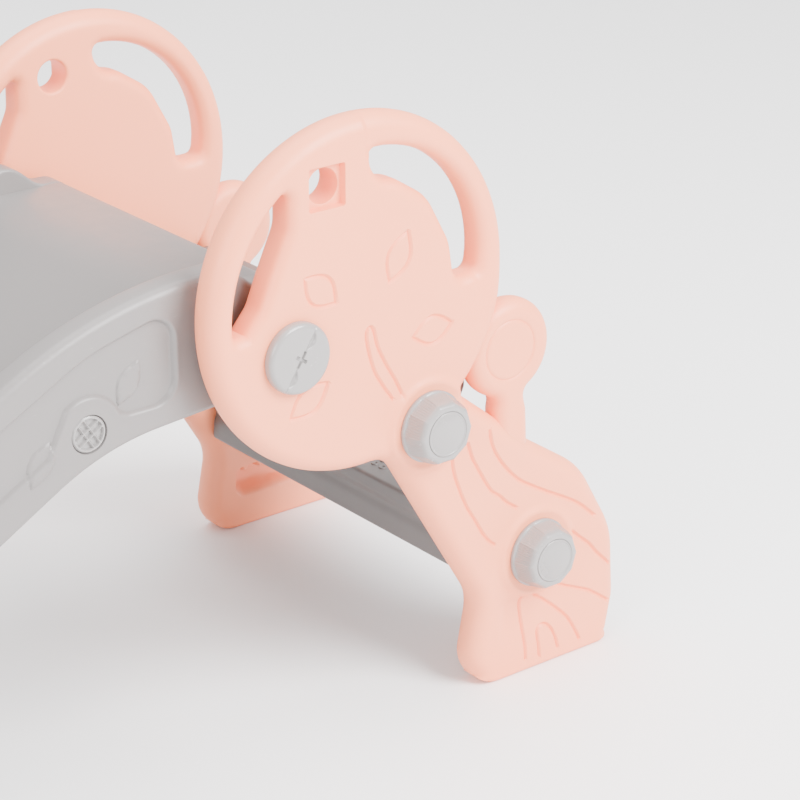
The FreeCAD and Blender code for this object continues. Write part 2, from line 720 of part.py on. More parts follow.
doc.recompute()
for thing in doc.Objects:
    if "Invalid" in thing.State or "Error" in thing.State:
        raise RuntimeError(f"{thing.Name} did not build: {thing.State}")
for thing in finished:
    if thing.Shape.isNull() or not thing.Shape.isValid():
        raise RuntimeError(f"{thing.Label} has no valid shape")

os.makedirs("parts", exist_ok=True)
for thing in finished:
    thing.Shape.exportStep(f"parts/{thing.Label}.step")
    box = thing.Shape.BoundBox
    print(f"{thing.Label}: {len(thing.Shape.Solids)} solid(s), {thing.Shape.Volume / 1000:.1f} cm3, "
          f"x {box.XMin:.1f}..{box.XMax:.1f}, y {box.YMin:.1f}..{box.YMax:.1f}, "
          f"z {box.ZMin:.1f}..{box.ZMax:.1f}")
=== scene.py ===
"""A toddler slide: moulded side panels, steps, chute, hand nuts and bolts, built round the frame."""

import math

import bpy
import numpy as np
from bpy.props import FloatProperty, FloatVectorProperty, IntProperty, PointerProperty
from mathutils import Matrix, Vector
from mathutils.geometry import delaunay_2d_cdt


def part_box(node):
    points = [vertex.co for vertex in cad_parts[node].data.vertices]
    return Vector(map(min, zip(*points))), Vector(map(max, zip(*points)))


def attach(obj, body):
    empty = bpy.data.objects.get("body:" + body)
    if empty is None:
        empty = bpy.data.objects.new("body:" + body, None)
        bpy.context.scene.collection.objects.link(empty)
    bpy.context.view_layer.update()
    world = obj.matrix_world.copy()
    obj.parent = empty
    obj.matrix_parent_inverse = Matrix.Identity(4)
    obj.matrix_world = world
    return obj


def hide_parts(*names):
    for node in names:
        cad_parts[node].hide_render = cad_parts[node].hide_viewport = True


bl_info = {
    "name": "Toddler slide",
    "version": (1, 0, 0),
    "blender": (4, 5, 0),
    "location": "3D View > Sidebar > Slide",
    "description": "Builds a moulded toddler slide piece by piece around its frame",
    "category": "Add Mesh",
}

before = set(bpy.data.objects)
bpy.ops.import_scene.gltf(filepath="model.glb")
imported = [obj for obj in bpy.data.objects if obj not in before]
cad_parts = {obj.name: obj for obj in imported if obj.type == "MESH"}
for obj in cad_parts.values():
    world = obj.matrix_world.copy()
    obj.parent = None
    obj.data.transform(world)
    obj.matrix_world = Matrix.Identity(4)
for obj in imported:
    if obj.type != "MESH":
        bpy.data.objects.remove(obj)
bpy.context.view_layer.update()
MM = 0.001


def node_box(name):
    """Lowest and highest corner of a frame node, in millimetres."""
    low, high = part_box(name)
    return np.array(low) / MM, np.array(high) / MM


def node_middle(name):
    low, high = node_box(name)
    return (low + high) / 2


# ------------------------------------------------------------------ sizes and colours

PANEL_LOW, PANEL_HIGH = node_box("side_panel_left")
CHUTE_LOW = node_box("lower_chute")[0]
BOSS_HEIGHT = 2.0
PANEL_INNER = abs(float(PANEL_HIGH[1]))
PANEL_OUTER = abs(float(PANEL_LOW[1])) - BOSS_HEIGHT
CROWN = (286.2, float(PANEL_HIGH[2]) - 169.0)
LOWER_STUD = node_middle("lower_nut_left")
UPPER_STUD = node_middle("upper_nut_left")
PIVOT = node_middle("pivot_bolt_left")
SOCKET = (244.5, 558.5)
CHUTE_SCREWS = [node_middle(f"chute_screw_{order}_left")[::2] for order in ("upper", "lower")]
SLOPE = 0.576
CLEARANCE = 0.3
MOULDED_CREASE = 42
TURNED_CREASE = 38
SIDES = (("left", -1), ("right", 1))


def length(name, text, metres):
    return FloatProperty(name=name, description=text, default=metres, unit="LENGTH")


def tone(name, text, red, green, blue):
    return FloatVectorProperty(name=name, description=text, subtype="COLOR", size=4,
                               default=(red, green, blue, 1))


class SlideSizes(bpy.types.PropertyGroup):
    crown_radius: length("Crown radius", "Radius of a panel's round head", 0.169)
    panel_round: length("Panel edge round", "Rounding along a panel's edges", 0.017)
    groove_width: length("Groove half width", "Half the width of an engraved line", 0.0024)
    groove_depth: length("Groove depth", "Depth of an engraved line", 0.0026)
    rim_round: length("Chute rim round", "Rounding along a chute wall's top", 0.009)
    wall_width: length("Chute wall width", "Thickness of a chute's hollow wall", 0.030)
    recess_depth: length("Wall recess", "Depth of the framed recess in a chute wall", 0.004)
    nut_lobes: IntProperty(name="Nut sides", description="Flat sides round a hand nut", default=10)
    ridge_depth: length("Nut ridge depth", "Height of a hand nut's fine ribs", 0.00022)
    dot_pitch: length("Tread dot pitch", "Spacing of the anti-slip dots", 0.0125)


class SlideColours(bpy.types.PropertyGroup):
    panel: tone("Panel", "Moulded panel colour", 0.98, 0.3, 0.15)
    chute: tone("Chute", "Moulded chute colour", 0.19, 0.175, 0.171)
    # The step's grey is set darker than the chute's to stand in for the shade on the step: painted shade.
    board: tone("Step", "Moulded step colour", 0.12, 0.106, 0.102)
    nut: tone("Nut", "Hand nut and bolt colour", 0.26, 0.245, 0.24)
    floor: tone("Floor", "Studio floor colour", 0.92, 0.915, 0.92)


def sizes():
    return bpy.context.scene.slide_sizes


def colours():
    return bpy.context.scene.slide_colours


# ------------------------------------------------------------------ plane curves, in millimetres

def unit(vector):
    """The same direction with length one."""
    return vector / np.linalg.norm(vector)


def full_turn(count):
    return np.linspace(0, 2 * math.pi, count, endpoint=False)


def swing(first, last, turn, count):
    """Points that turn by an angle from one arm to the other, both drawn from the origin."""
    share = np.linspace(0, 1, count)[:, None]
    return (first * np.sin((1 - share) * turn) + last * np.sin(share * turn)) / math.sin(turn)


def rounded_run(corners, closed=True, step=3.0):
    """Straight runs joined by tangent arcs. Each corner is (x, z, radius)."""
    found = []
    count = len(corners)
    for i, (x, z, radius) in enumerate(corners):
        here = np.array([x, z], float)
        if not radius or (not closed and i in (0, count - 1)):
            found.append(here[None])
            continue
        before = unit(np.array(corners[i - 1][:2], float) - here)
        after = unit(np.array(corners[(i + 1) % count][:2], float) - here)
        half = math.acos(np.clip(before @ after, -1, 1)) / 2
        centre = here + unit(before + after) * radius / math.sin(half)
        first = here + before * radius / math.tan(half) - centre
        last = here + after * radius / math.tan(half) - centre
        turn = math.pi - 2 * half
        found.append(centre + swing(first, last, turn, max(3, int(radius * turn / step) + 2)))
    return spaced(np.concatenate(found), step, closed)


def spaced(points, step, closed=True):
    """The same line with points no further apart than step."""
    ends = np.roll(points, -1, 0) if closed else points[1:]
    starts = points if closed else points[:-1]
    pieces = []
    for start, end in zip(starts, ends):
        length = np.linalg.norm(end - start)
        if length < 1e-6:
            continue
        cuts = max(1, math.ceil(length / step))
        pieces.append(start + (end - start) * np.arange(cuts)[:, None] / cuts)
    if not closed:
        pieces.append(points[-1:])
    return np.concatenate(pieces)


def arc_points(centre, radius, start, end, step=3.0):
    """Points on a circle from one angle to another, in degrees."""
    count = max(3, int(abs(math.radians(end - start)) * radius / step) + 1)
    angle = np.radians(np.linspace(start, end, count))
    return np.array(centre) + radius * np.stack([np.cos(angle), np.sin(angle)], 1)


def smooth_line(points, closed=False, step=1.6):
    """A Catmull-Rom curve through a few points: cubic spans with matching tangents."""
    p = np.array(points, float)
    if closed:
        p = np.concatenate([p[-1:], p, p[:2]])
    else:
        p = np.concatenate([2 * p[:1] - p[1:2], p, 2 * p[-1:] - p[-2:-1]])
    spans = []
    for a, b, c, d in zip(p[:-3], p[1:-2], p[2:-1], p[3:]):
        count = max(2, int(np.linalg.norm(c - b) / step) + 1)
        u = np.linspace(0, 1, count, endpoint=False)[:, None]
        spans.append(0.5 * (2 * b + (c - a) * u + (2 * a - 5 * b + 4 * c - d) * u ** 2
                            + (3 * b - a - 3 * c + d) * u ** 3))
    if not closed:
        spans.append(p[-2:-1])
    return np.concatenate(spans)


def crowned(centre, radius, corners, fillets, step=3.0):
    """A round head on a stem: the stem's outer lines run into the head through fillets.

    The first and last corner give the direction of those two lines, inside the head.
    """
    centre = np.array(centre, float)

    def junction(inner, outer, fillet, outside):
        along = unit(inner - outer)
        normal = np.array([-along[1], along[0]])
        if normal @ outside < 0:
            normal = -normal
        offset = outer + normal * fillet - centre
        reach = offset @ along
        travel = -reach - math.sqrt(reach ** 2 - offset @ offset + (radius + fillet) ** 2)
        middle = outer + normal * fillet + along * travel
        return middle - normal * fillet, middle, centre + (middle - centre) * radius / (radius + fillet)

    points = [np.array(c[:2], float) for c in corners]
    stem_right, mid_right, head_right = junction(points[0], points[1], fillets[0], np.array([1.0, 0.2]))
    stem_left, mid_left, head_left = junction(points[-1], points[-2], fillets[1], np.array([-1.0, 0.0]))

    def fillet_arc(start, end, middle):
        a, b = start - middle, end - middle
        turn = math.acos(np.clip(a @ b / np.linalg.norm(a) / np.linalg.norm(b), -1, 1))
        return middle + swing(a, b, turn, 6)

    stem = rounded_run([(*stem_right, 0), *corners[1:-1], (*stem_left, 0)], closed=False, step=step)
    start = math.degrees(math.atan2(*(head_left - centre)[::-1])) % 360
    end = math.degrees(math.atan2(*(head_right - centre)[::-1]))
    head = arc_points(centre, radius, start, end, step)
    return spaced(np.concatenate([stem[:-1], fillet_arc(stem_left, head_left, mid_left)[:-1], head[:-1],
                                  fillet_arc(head_right, stem_right, mid_right)[:-1]]), step)


def distance_to(points, line, closed=True):
    """Shortest distance from each point to a run of segments."""
    a = line if closed else line[:-1]
    b = np.roll(line, -1, 0) if closed else line[1:]
    ab = b - a
    size = np.maximum((ab ** 2).sum(1), 1e-12)
    nearest = np.empty(len(points))
    for k in range(0, len(points), 3000):
        ap = points[k:k + 3000, None] - a
        t = np.clip((ap * ab).sum(2) / size, 0, 1)
        nearest[k:k + 3000] = np.sqrt(((ap - ab * t[..., None]) ** 2).sum(2).min(1))
    return nearest


def is_inside(points, loop):
    """Even-odd test of points against a closed loop."""
    inside = np.zeros(len(points), bool)
    x, z = points.T
    for (ax, az), (bx, bz) in zip(loop, np.roll(loop, -1, 0)):
        if az != bz:
            crosses = (az > z) != (bz > z)
            inside ^= crosses & (x < (bx - ax) * (z - az) / (bz - az) + ax)
    return inside


def signed(points, loop):
    """Distance to a loop, negative inside it."""
    return distance_to(points, loop) * np.where(is_inside(points, loop), -1, 1)


def offset_rows(line, offsets, closed=False):
    """The same line moved sideways by each offset."""
    ahead = (np.roll(line, -1, 0) - np.roll(line, 1, 0)) if closed else np.gradient(line, axis=0)
    normal = np.stack([-ahead[:, 1], ahead[:, 0]], 1)
    normal /= np.linalg.norm(normal, axis=1)[:, None] + 1e-9
    return [line + normal * k for k in offsets]


def circle_loop(centre, radius, step=2.5):
    angle = full_turn(int(2 * math.pi * radius / step))
    return np.array(centre)[:2] + radius * np.stack([np.cos(angle), np.sin(angle)], 1)


def square_round(centre, size):
    """A square with small corner rounds, run so that a positive offset lies inside."""
    k = size / 2
    x, z = centre
    corners = [(x - k, z - k, 2), (x + k, z - k, 2), (x + k, z + k, 2), (x - k, z + k, 2)]
    return rounded_run(corners, step=2.0)


def open_edge(outline, chosen):
    """The stretch of a closed outline whose points are chosen, in order."""
    start = next(i for i in range(len(outline)) if chosen[i] and not chosen[i - 1])
    order = (np.arange(len(outline)) + start) % len(outline)
    return outline[order[chosen[order]]]


def blend_step(value):
    """0 below 0, 1 above 1, smooth between."""
    t = np.clip(value, 0, 1)
    return t * t * (3 - 2 * t)


def leaf(tip_a, tip_b, width):
    """A leaf between two tips: each side bulges as half a sine."""
    a, b = np.array(tip_a, float), np.array(tip_b, float)
    along = b - a
    normal = unit(np.array([-along[1], along[0]]))
    u = np.linspace(0, 1, 26)
    bulge = np.sin(np.pi * u)[:, None] * normal * width / 2
    one = a + along * u[:, None] + bulge
    other = a + along * u[:, None] - bulge
    return np.concatenate([one, other[-2:0:-1]])


# ------------------------------------------------------------------ meshes

def new_piece(name, verts, faces, smooth=True):
    """A mesh object at the origin from millimetre points and faces."""
    mesh = bpy.data.meshes.new(name)
    mesh.from_pydata([tuple(v) for v in np.asarray(verts) * MM], [], [tuple(f) for f in faces])
    mesh.validate()
    mesh.polygons.foreach_set("use_smooth", [smooth] * len(mesh.polygons))
    mesh.update()
    thing = bpy.data.objects.new(name, mesh)
    bpy.context.scene.collection.objects.link(thing)
    return thing


def finish_piece(thing, crease, body, slot, material, *nodes):
    """Keep edges sharper than crease degrees crisp, then give material and body and hide the frame nodes;
    slot is not used.
    """
    thing.data.set_sharp_from_angle(angle=math.radians(crease))
    thing.data.materials.clear()
    thing.data.materials.append(material)
    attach(thing, body)
    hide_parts(*nodes)


def rounding_drop(depth, radius):
    """How far a quarter-round edge has fallen at a depth in from the edge."""
    t = np.clip(depth / radius, 0, 1)
    return radius * (1 - np.sqrt(np.clip(1 - (1 - t) ** 2, 0, 1)))


def slab(loops, edges, extra_points, pitch, thickness, out_relief, in_relief=None, ring_steps=7):
    """A moulded plate in the side view: two relief faces meeting at rounded edges.

    loops are the outer boundary and its holes. edges are (line, closed, outer radius,
    inner radius). Each face is thickness / 2 less its edge rounding plus its relief at
    every point of one shared triangulation. Returns points (x, z), both heights, the faces
    and the rim's edges.
    """
    def in_plate(points):
        inside = is_inside(points, loops[0])
        for hole in loops[1:]:
            inside &= ~is_inside(points, hole)
        return inside

    low, high = loops[0].min(0), loops[0].max(0)
    grid = np.stack(np.meshgrid(np.arange(low[0], high[0], pitch),
                                np.arange(low[1], high[1], pitch * 0.866)), -1)
    grid[1::2, :, 0] += pitch / 2
    candidates = [(grid.reshape(-1, 2), 0.3 * pitch)]
    for line, closed, *radii in edges:
        for angle in np.linspace(0, math.pi / 2, ring_steps + 1)[1:]:
            depth = max(radii) * (1 - math.cos(angle))
            candidates += [(ring, depth) for ring in offset_rows(line, (-depth, depth), closed)]
    candidates += [(points, 0.5) for points in extra_points]
    kept = []
    for points, depth in candidates:
        points = points[in_plate(points)]
        gap = np.min([distance_to(points, loop) for loop in loops], axis=0)
        kept.append(points[gap > depth * 0.985 - 0.02])
    cell = pitch * 0.55
    used = {tuple(k) for k in np.floor(np.concatenate(extra_points) / cell).astype(int)}
    plain = [tuple(k) not in used for k in np.floor(kept[0] / cell).astype(int)]
    kept[0] = kept[0][np.array(plain, bool)]
    links, start = [], 0
    for loop in loops:
        index = np.arange(len(loop)) + start
        links += list(zip(index.tolist(), np.roll(index, -1).tolist()))
        start += len(loop)
    everything = np.concatenate([*loops, *kept])
    found = delaunay_2d_cdt([Vector(p) for p in everything], links, [], 0, 1e-3)
    flat = np.array([tuple(v) for v in found[0]])
    triangles = np.array([f for f in found[2] if len(f) == 3])
    triangles = triangles[in_plate(flat[triangles].mean(1))]
    used, triangles = np.unique(triangles, return_inverse=True)
    flat, triangles = flat[used], triangles.reshape(-1, 3)
    drops = np.zeros((2, len(flat)))
    for line, closed, *radii in edges:
        near = distance_to(flat, line, closed)
        drops = np.maximum(drops, [rounding_drop(near, radius) for radius in radii])
    heights = [thickness / 2 - drop + (relief(flat) if relief else 0)
               for drop, relief in zip(drops, (out_relief, in_relief))]
    directed = np.concatenate([triangles[:, [0, 1]], triangles[:, [1, 2]], triangles[:, [2, 0]]])
    _, index, counts = np.unique(np.sort(directed, 1), axis=0, return_index=True, return_counts=True)
    return flat, *heights, triangles, directed[index[counts == 1]]


def slab_piece(name, made, middle, side):
    """Stand a slab up: its outer face looks towards side along Y, its middle plane at y = middle."""
    flat, out_height, in_height, triangles, rim = made
    count = len(flat)
    verts = np.concatenate([np.stack([flat[:, 0], middle + height, flat[:, 1]], 1)
                            for height in (side * out_height, -side * in_height)])
    a, b = rim.T
    turned_round = triangles[:, ::-1]
    if side < 0:
        front, back = triangles, turned_round + count
        wall = np.stack([b, a, a + count, b + count], 1)
    else:
        front, back = turned_round, triangles + count
        wall = np.stack([a, b, b + count, a + count], 1)
    return new_piece(name, verts, front.tolist() + back.tolist() + wall.tolist())


def joined(name, things):
    """Several mesh objects made one, at the origin."""
    with bpy.context.temp_override(active_object=things[0], selected_editable_objects=things,
                                   selected_objects=things, object=things[0]):
        bpy.ops.object.join()
    things[0].name = name
    things[0].data.name = name
    return things[0]


def grid_quads(rows, count, wrap=True):
    """Faces of a grid of points, row by row; wrap joins each row's end to its start."""
    r, c = np.meshgrid(np.arange(rows - 1), np.arange(count if wrap else count - 1), indexing="ij")
    a = r * count + c
    b = r * count + (c + 1) % count
    return np.stack([a, b, b + count, a + count], -1).reshape(-1, 4)


def turned(name, radius, height, centre, side):
    """A closed piece about a Y axis, from a row of radii and heights out for each ring."""
    rings, around = radius.shape
    angle = full_turn(around)
    verts = np.stack([centre[0] + radius * np.cos(angle), centre[1] + side * height,
                      centre[2] + radius * np.sin(angle)], -1).reshape(-1, 3)
    quads = grid_quads(rings, around)
    caps = [tuple(range(around))[::-1], tuple(range((rings - 1) * around, rings * around))]
    if side < 0:
        quads = quads[:, ::-1]
        caps = [c[::-1] for c in caps]
    return new_piece(name, verts, quads.tolist() + caps)


def lathe(name, profile, around, centre, side, shape=None):
    """A turned piece about a Y axis: profile is (radius, height out from the panel).

    shape(angle, row) gives a change of radius, for flats and ribs.
    """
    profile = np.array(profile, float)
    radius, height = (np.repeat(profile[:, k:k + 1], around, 1) for k in (0, 1))
    if shape is not None:
        radius = radius + shape(full_turn(around)[None], np.arange(len(profile))[:, None])
    return turned(name, radius, height, centre, side)


# ------------------------------------------------------------------ shader groups and materials

def fill(node, values):
    """Set several input sockets at once."""
    for label, value in values.items():
        node.inputs[label].default_value = value


def link_all(tree, links):
    for source, target in links:
        tree.links.new(source, target)


def group_tree(name, inputs, outputs):
    tree = bpy.data.node_groups.new(name, "ShaderNodeTree")
    for label, value in inputs.items():
        kind = "NodeSocketColor" if isinstance(value, tuple) else "NodeSocketFloat"
        tree.interface.new_socket(label, in_out="INPUT", socket_type=kind).default_value = value
    for label in outputs:
        kind = "NodeSocketColor" if label == "Colour" else "NodeSocketFloat"
        tree.interface.new_socket(label, in_out="OUTPUT", socket_type=kind)
    return tree, tree.nodes.new("NodeGroupInput").outputs, tree.nodes.new("NodeGroupOutput").inputs


def noise(tree, source, scale, detail, rough=0.5):
    node = tree.nodes.new("ShaderNodeTexNoise")
    fill(node, {"Detail": detail, "Roughness": rough})
    tree.links.new(source, node.inputs["Vector"])
    if isinstance(scale, float):
        node.inputs["Scale"].default_value = scale
    else:
        tree.links.new(scale, node.inputs["Scale"])
    return node.outputs["Fac"]


def sums(tree, kind, *values):
    node = tree.nodes.new("ShaderNodeMath")
    node.operation = kind
    for socket, value in zip(node.inputs, values):
        if isinstance(value, float):
            socket.default_value = value
        else:
            tree.links.new(value, socket)
    return node.outputs[0]


def moulded_skin():
    """Blow-moulded surface: fine orange peel, slow waves in the wall, cloudy colour and gloss."""
    tree, given, out = group_tree("moulded_skin", {
        "Colour": (0.8, 0.8, 0.8, 1), "Grain Scale": 900.0, "Cloud Amount": 0.04, "Roughness": 0.42,
    }, ("Colour", "Roughness", "Height"))
    place = tree.nodes.new("ShaderNodeTexCoord").outputs["Object"]
    peel = noise(tree, place, given["Grain Scale"], 2.0)
    waves = noise(tree, place, 22.0, 1.0)
    cloud = sums(tree, "SUBTRACT", noise(tree, place, 9.0, 3.0), 0.5)
    patch = sums(tree, "SUBTRACT", noise(tree, place, 45.0, 4.0, 0.6), 0.5)
    tint = tree.nodes.new("ShaderNodeVectorMath")
    tint.operation = "SCALE"
    link_all(tree, [
        (sums(tree, "ADD", sums(tree, "MULTIPLY", peel, 0.35), waves), out["Height"]),
        (given["Colour"], tint.inputs[0]),
        (sums(tree, "MULTIPLY_ADD", cloud, given["Cloud Amount"], 1.0), tint.inputs["Scale"]),
        (tint.outputs[0], out["Colour"]),
        (sums(tree, "MULTIPLY_ADD", patch, 0.22, given["Roughness"]), out["Roughness"]),
    ])
    return tree


def handling_marks():
    """Light scuffs: thin stretched scratches that lift roughness and colour a little."""
    tree, given, out = group_tree("handling_marks", {
        "Colour": (0.8, 0.8, 0.8, 1), "Roughness": 0.4, "Amount": 0.3,
    }, ("Colour", "Roughness"))
    place = tree.nodes.new("ShaderNodeTexCoord").outputs["Object"]
    turn = tree.nodes.new("ShaderNodeMapping")
    fill(turn, {"Rotation": (0.4, 0.7, 0.3), "Scale": (12.0, 90.0, 90.0)})
    tree.links.new(place, turn.inputs["Vector"])
    ramp = tree.nodes.new("ShaderNodeMapRange")
    fill(ramp, {"From Min": 0.66, "From Max": 0.78})
    tree.links.new(noise(tree, turn.outputs[0], 6.0, 3.0, 0.7), ramp.inputs["Value"])
    mask = sums(tree, "MULTIPLY", ramp.outputs[0], given["Amount"])
    lift = tree.nodes.new("ShaderNodeMix")
    lift.data_type = "RGBA"
    fill(lift, {"B": (0.9, 0.88, 0.87, 1)})
    link_all(tree, [
        (sums(tree, "MULTIPLY", mask, 0.25), lift.inputs["Factor"]),
        (given["Colour"], lift.inputs["A"]),
        (lift.outputs["Result"], out["Colour"]),
        (sums(tree, "MULTIPLY_ADD", mask, 0.25, given["Roughness"]), out["Roughness"]),
    ])
    return tree


def shared_group(tree, maker):
    """A node that uses a shared group, which is made the first time."""
    node = tree.nodes.new("ShaderNodeGroup")
    node.node_tree = bpy.data.node_groups.get(maker.__name__) or maker()
    return node


def plastic(name, colour, rough, grain=900.0, bump=0.06, cloud=0.06, marks=0.35, coat=0.0, glow=0.0):
    """A moulded plastic from the two shared groups."""
    made = bpy.data.materials.get(name)
    if made:
        return made
    made = bpy.data.materials.new(name)
    made.use_nodes = True
    tree = made.node_tree
    shader = tree.nodes["Principled BSDF"]
    skin = shared_group(tree, moulded_skin)
    fill(skin, {"Colour": colour, "Grain Scale": grain, "Cloud Amount": cloud, "Roughness": rough})
    scuff = shared_group(tree, handling_marks)
    fill(scuff, {"Amount": marks})
    relief = tree.nodes.new("ShaderNodeBump")
    fill(relief, {"Strength": bump, "Distance": 0.001})
    link_all(tree, [
        (skin.outputs["Colour"], scuff.inputs["Colour"]),
        (skin.outputs["Roughness"], scuff.inputs["Roughness"]),
        (scuff.outputs["Colour"], shader.inputs["Base Color"]),
        (scuff.outputs["Roughness"], shader.inputs["Roughness"]),
        (skin.outputs["Height"], relief.inputs["Height"]),
        (relief.outputs["Normal"], shader.inputs["Normal"]),
    ])
    fill(shader, {"IOR": 1.5, "Coat Weight": coat, "Coat Roughness": 0.12, "Subsurface Weight": glow,
                  "Subsurface Radius": (1.0, 0.45, 0.3), "Subsurface Scale": 0.006})
    return made


def panel_plastic():
    return plastic("panel_polyethylene", colours().panel, 0.44, cloud=0.05, marks=0.15, glow=0.12)


def chute_plastic():
    return plastic("chute_polyethylene", colours().chute, 0.38)


# The step's plastic, in the darker grey that paints in the step's shade.
def board_plastic():
    return plastic("board_polyethylene_painted_shade", colours().board, 0.4)


def nut_plastic():
    return plastic("nut_gloss_plastic", colours().nut, 0.24, grain=600.0, bump=0.02, cloud=0.03,
                   marks=0.25, coat=0.25)


def insert_plastic():
    return plastic("insert_plastic", (0.28, 0.265, 0.26, 1), 0.5, bump=0.08, marks=0.5)


# ------------------------------------------------------------------ side panels

TRUNK = [(340, 372), (493, 249, 90), (561, 203.5, 90), (605.5, 125, 90), (610.1, 50, 45), (600, 0, 18),
         (409.5, 0, 36), (427.5, 95, 45), (305, 300)]
LOBE = (465.0, 351.0)
STALK = [(478, 330), (489, 285, 20), (491.5, 236, 0), (478, 205, 0), (449, 240, 0), (449, 290, 20),
         (457, 330)]
GRIP_MIDDLE = (303.0, 460.5)
GRIP_RADIUS = 121.0
GRIP_WINDOW = [(296, 640), (296.5, 555, 24), (326, 549, 30), (362, 526, 50), (388, 478, 40),
               (394, 439.5, 12), (450, 439.5)]
REAR_RADIUS = 141.0
REAR_WINDOW = [(206, 575), (204.5, 526, 24), (186, 486, 40), (174, 457, 30), (158, 438, 0), (118, 434)]
RING_START = 286.0
FOOT_RECESS = [(452, 36, 14), (452, 74, 14), (575, 74, 12), (575, 36, 12)]
LEAVES = [((219, 479), (253, 449), 28), ((335, 499), (314, 455), 26), ((341, 395), (387, 399), 27),
          ((243, 375), (201, 350), 25)]
BRANCH = [(329, 340), (320, 358), (310, 375), (300, 395), (295, 413), (291, 417), (287, 412),
          (288, 400), (295, 375), (305, 357), (317, 340)]
GRAIN = [
    [(388, 262), (391, 245), (398, 225), (408, 203), (418, 187), (428, 170), (436, 160), (443, 154)],
    [(408, 270), (413, 255), (420, 242), (428, 228), (438, 213), (448, 205), (458, 195), (470, 186)],
    [(435, 277), (438, 262), (446, 246), (458, 230), (473, 215), (488, 205), (508, 193), (548, 170),
     (574, 148)],
    [(542, 141), (553, 131), (568, 118), (578, 106), (596, 88)],
    [(521, 89), (538, 80), (558, 71), (573, 63), (596, 46)],
    [(486, 14), (485, 30), (482, 50), (479, 70), (479, 80), (483, 85), (490, 86), (498, 82),
     (518, 66), (538, 47), (546, 36), (553, 24), (558, 14)],
    [(504, 12), (503, 25), (501, 38), (503, 44), (508, 46), (514, 44), (520, 37), (525, 27), (529, 14)],
]
PEGS = [(468, 71), (488, 71), (512, 71), (540, 71)]
PEG_TOP = 2.5
POCKET_DEPTH = 17.0


def window_loop(corners, centre, radius, corner):
    """A corner run whose two open ends are cut off by a circle, closed along that circle."""
    def crossing(inside, outside):
        a, b = np.array(inside, float), np.array(outside, float)
        d, f = b - a, a - centre
        k = (-(f @ d) + math.sqrt((f @ d) ** 2 - (d @ d) * (f @ f - radius ** 2))) / (d @ d)
        return a + k * d

    centre = np.array(centre, float)
    first = crossing(corners[1][:2], corners[0])
    last = crossing(corners[-2][:2], corners[-1])
    start, end = (math.degrees(math.atan2(*(p - centre)[::-1])) for p in (last, first))
    turn = (end - start) % 360
    if turn > 180:
        turn -= 360
    pull = math.copysign(math.degrees(2.2 * corner / radius), turn)
    arc = arc_points(centre, radius, start + pull, start + turn - pull, 8.0)
    ring = [(*first, corner), *corners[1:-1], (*last, corner), *((x, z, 0) for x, z in arc)]
    return rounded_run(ring)


class Engraving:
    """Soft V grooves along lines: depth * (1 - smoothstep(distance / half width))."""

    def __init__(self, lines, half_width, depth):
        self.lines, self.half_width, self.depth = lines, half_width, depth

    def rows(self):
        steps = np.array([-1.0, -0.5, 0.0, 0.5, 1.0]) * self.half_width
        return [row for line, closed in self.lines for row in offset_rows(line, steps, closed)]

    def __call__(self, p):
        height = np.zeros(len(p))
        for line, closed in self.lines:
            near = distance_to(p, line, closed)
            height = np.minimum(height, -self.depth * (1 - blend_step(near / self.half_width)))
        return height


def tree_outer_relief(groove_half, groove_depth):
    """The outer face: bosses round the studs, engraved leaves and grain, and the sunken foot."""
    lines = [(smooth_line(g), False) for g in GRAIN]
    lines += [(smooth_line(BRANCH), False)]
    leaves = [leaf(*shape) for shape in LEAVES]
    lines += [(one, True) for one in leaves]
    grooves = Engraving(lines, groove_half, groove_depth)
    studs = [LOWER_STUD[::2], UPPER_STUD[::2]]
    socket = square_round(SOCKET, 40.0)

    def relief(p):
        height = grooves(p)
        for one in leaves:
            height -= 0.5 * (1 - blend_step((signed(p, one) + 2) / 2))
        x, z = p.T
        sunk = (blend_step((x - 447) / 14) * blend_step((560 - x) / 90) * blend_step((z - 18) / 50)
                * blend_step((92 - z) / 10))
        height -= 3.2 * sunk
        out_from_grip = np.linalg.norm(p - GRIP_MIDDLE, axis=1) - GRIP_RADIUS
        height -= (2.6 * blend_step((x - RING_START) / 3.5) * blend_step((z - 400) / 50)
                   * blend_step((out_from_grip + 6) / 5))
        for stud in studs:
            away = np.linalg.norm(p - stud, axis=1)
            ring = blend_step((51 - away) / 7)
            height = height * (1 - ring) + BOSS_HEIGHT * ring
            height += 1.5 * np.exp(-((away - 43) / 3.2) ** 2)
        height -= 7.0 * np.clip(-signed(p, socket), 0, 1)
        return height

    rows = grooves.rows()
    rows += offset_rows(socket, (0.0, 1.0, 2.2), True)
    step_line = np.stack([np.full(30, RING_START), np.linspace(570, 615, 30)], 1)
    rows += [step_line + (shift, 0) for shift in (0.0, 1.2, 2.4, 3.6)]
    for stud in studs:
        rows += [circle_loop(stud, r, 3.0) for r in (38, 40.5, 43, 45.5, 48, 51)]
    return relief, rows


def tree_inner_relief():
    """The inner face: a deep oblong pocket low on the foot, with pegs along its upper edge."""
    pocket = rounded_run(FOOT_RECESS, step=2.0)
    rows = offset_rows(pocket, (-1.5, 0.0, 1.2, 2.4, 5.0, 9.0), True)
    for peg in PEGS:
        rows += [circle_loop(peg, r, 1.5) for r in (2.5, 5.0, 6.2)]

    def relief(p):
        x, z = p.T
        depth = -signed(p, pocket)
        steep = blend_step(depth / 3.0)
        soft = blend_step(depth / 16.0)
        low = blend_step((62 - z) / 20)
        height = -POCKET_DEPTH * (steep * (1 - low) + soft * low)
        for peg in PEGS:
            off_peg = blend_step((np.hypot(x - peg[0], z - peg[1]) - 4.5) / 1.8)
            height = np.maximum(height, -PEG_TOP - (POCKET_DEPTH - PEG_TOP) * off_peg)
        return np.where(depth > 0, height, 0.0)

    return relief, rows


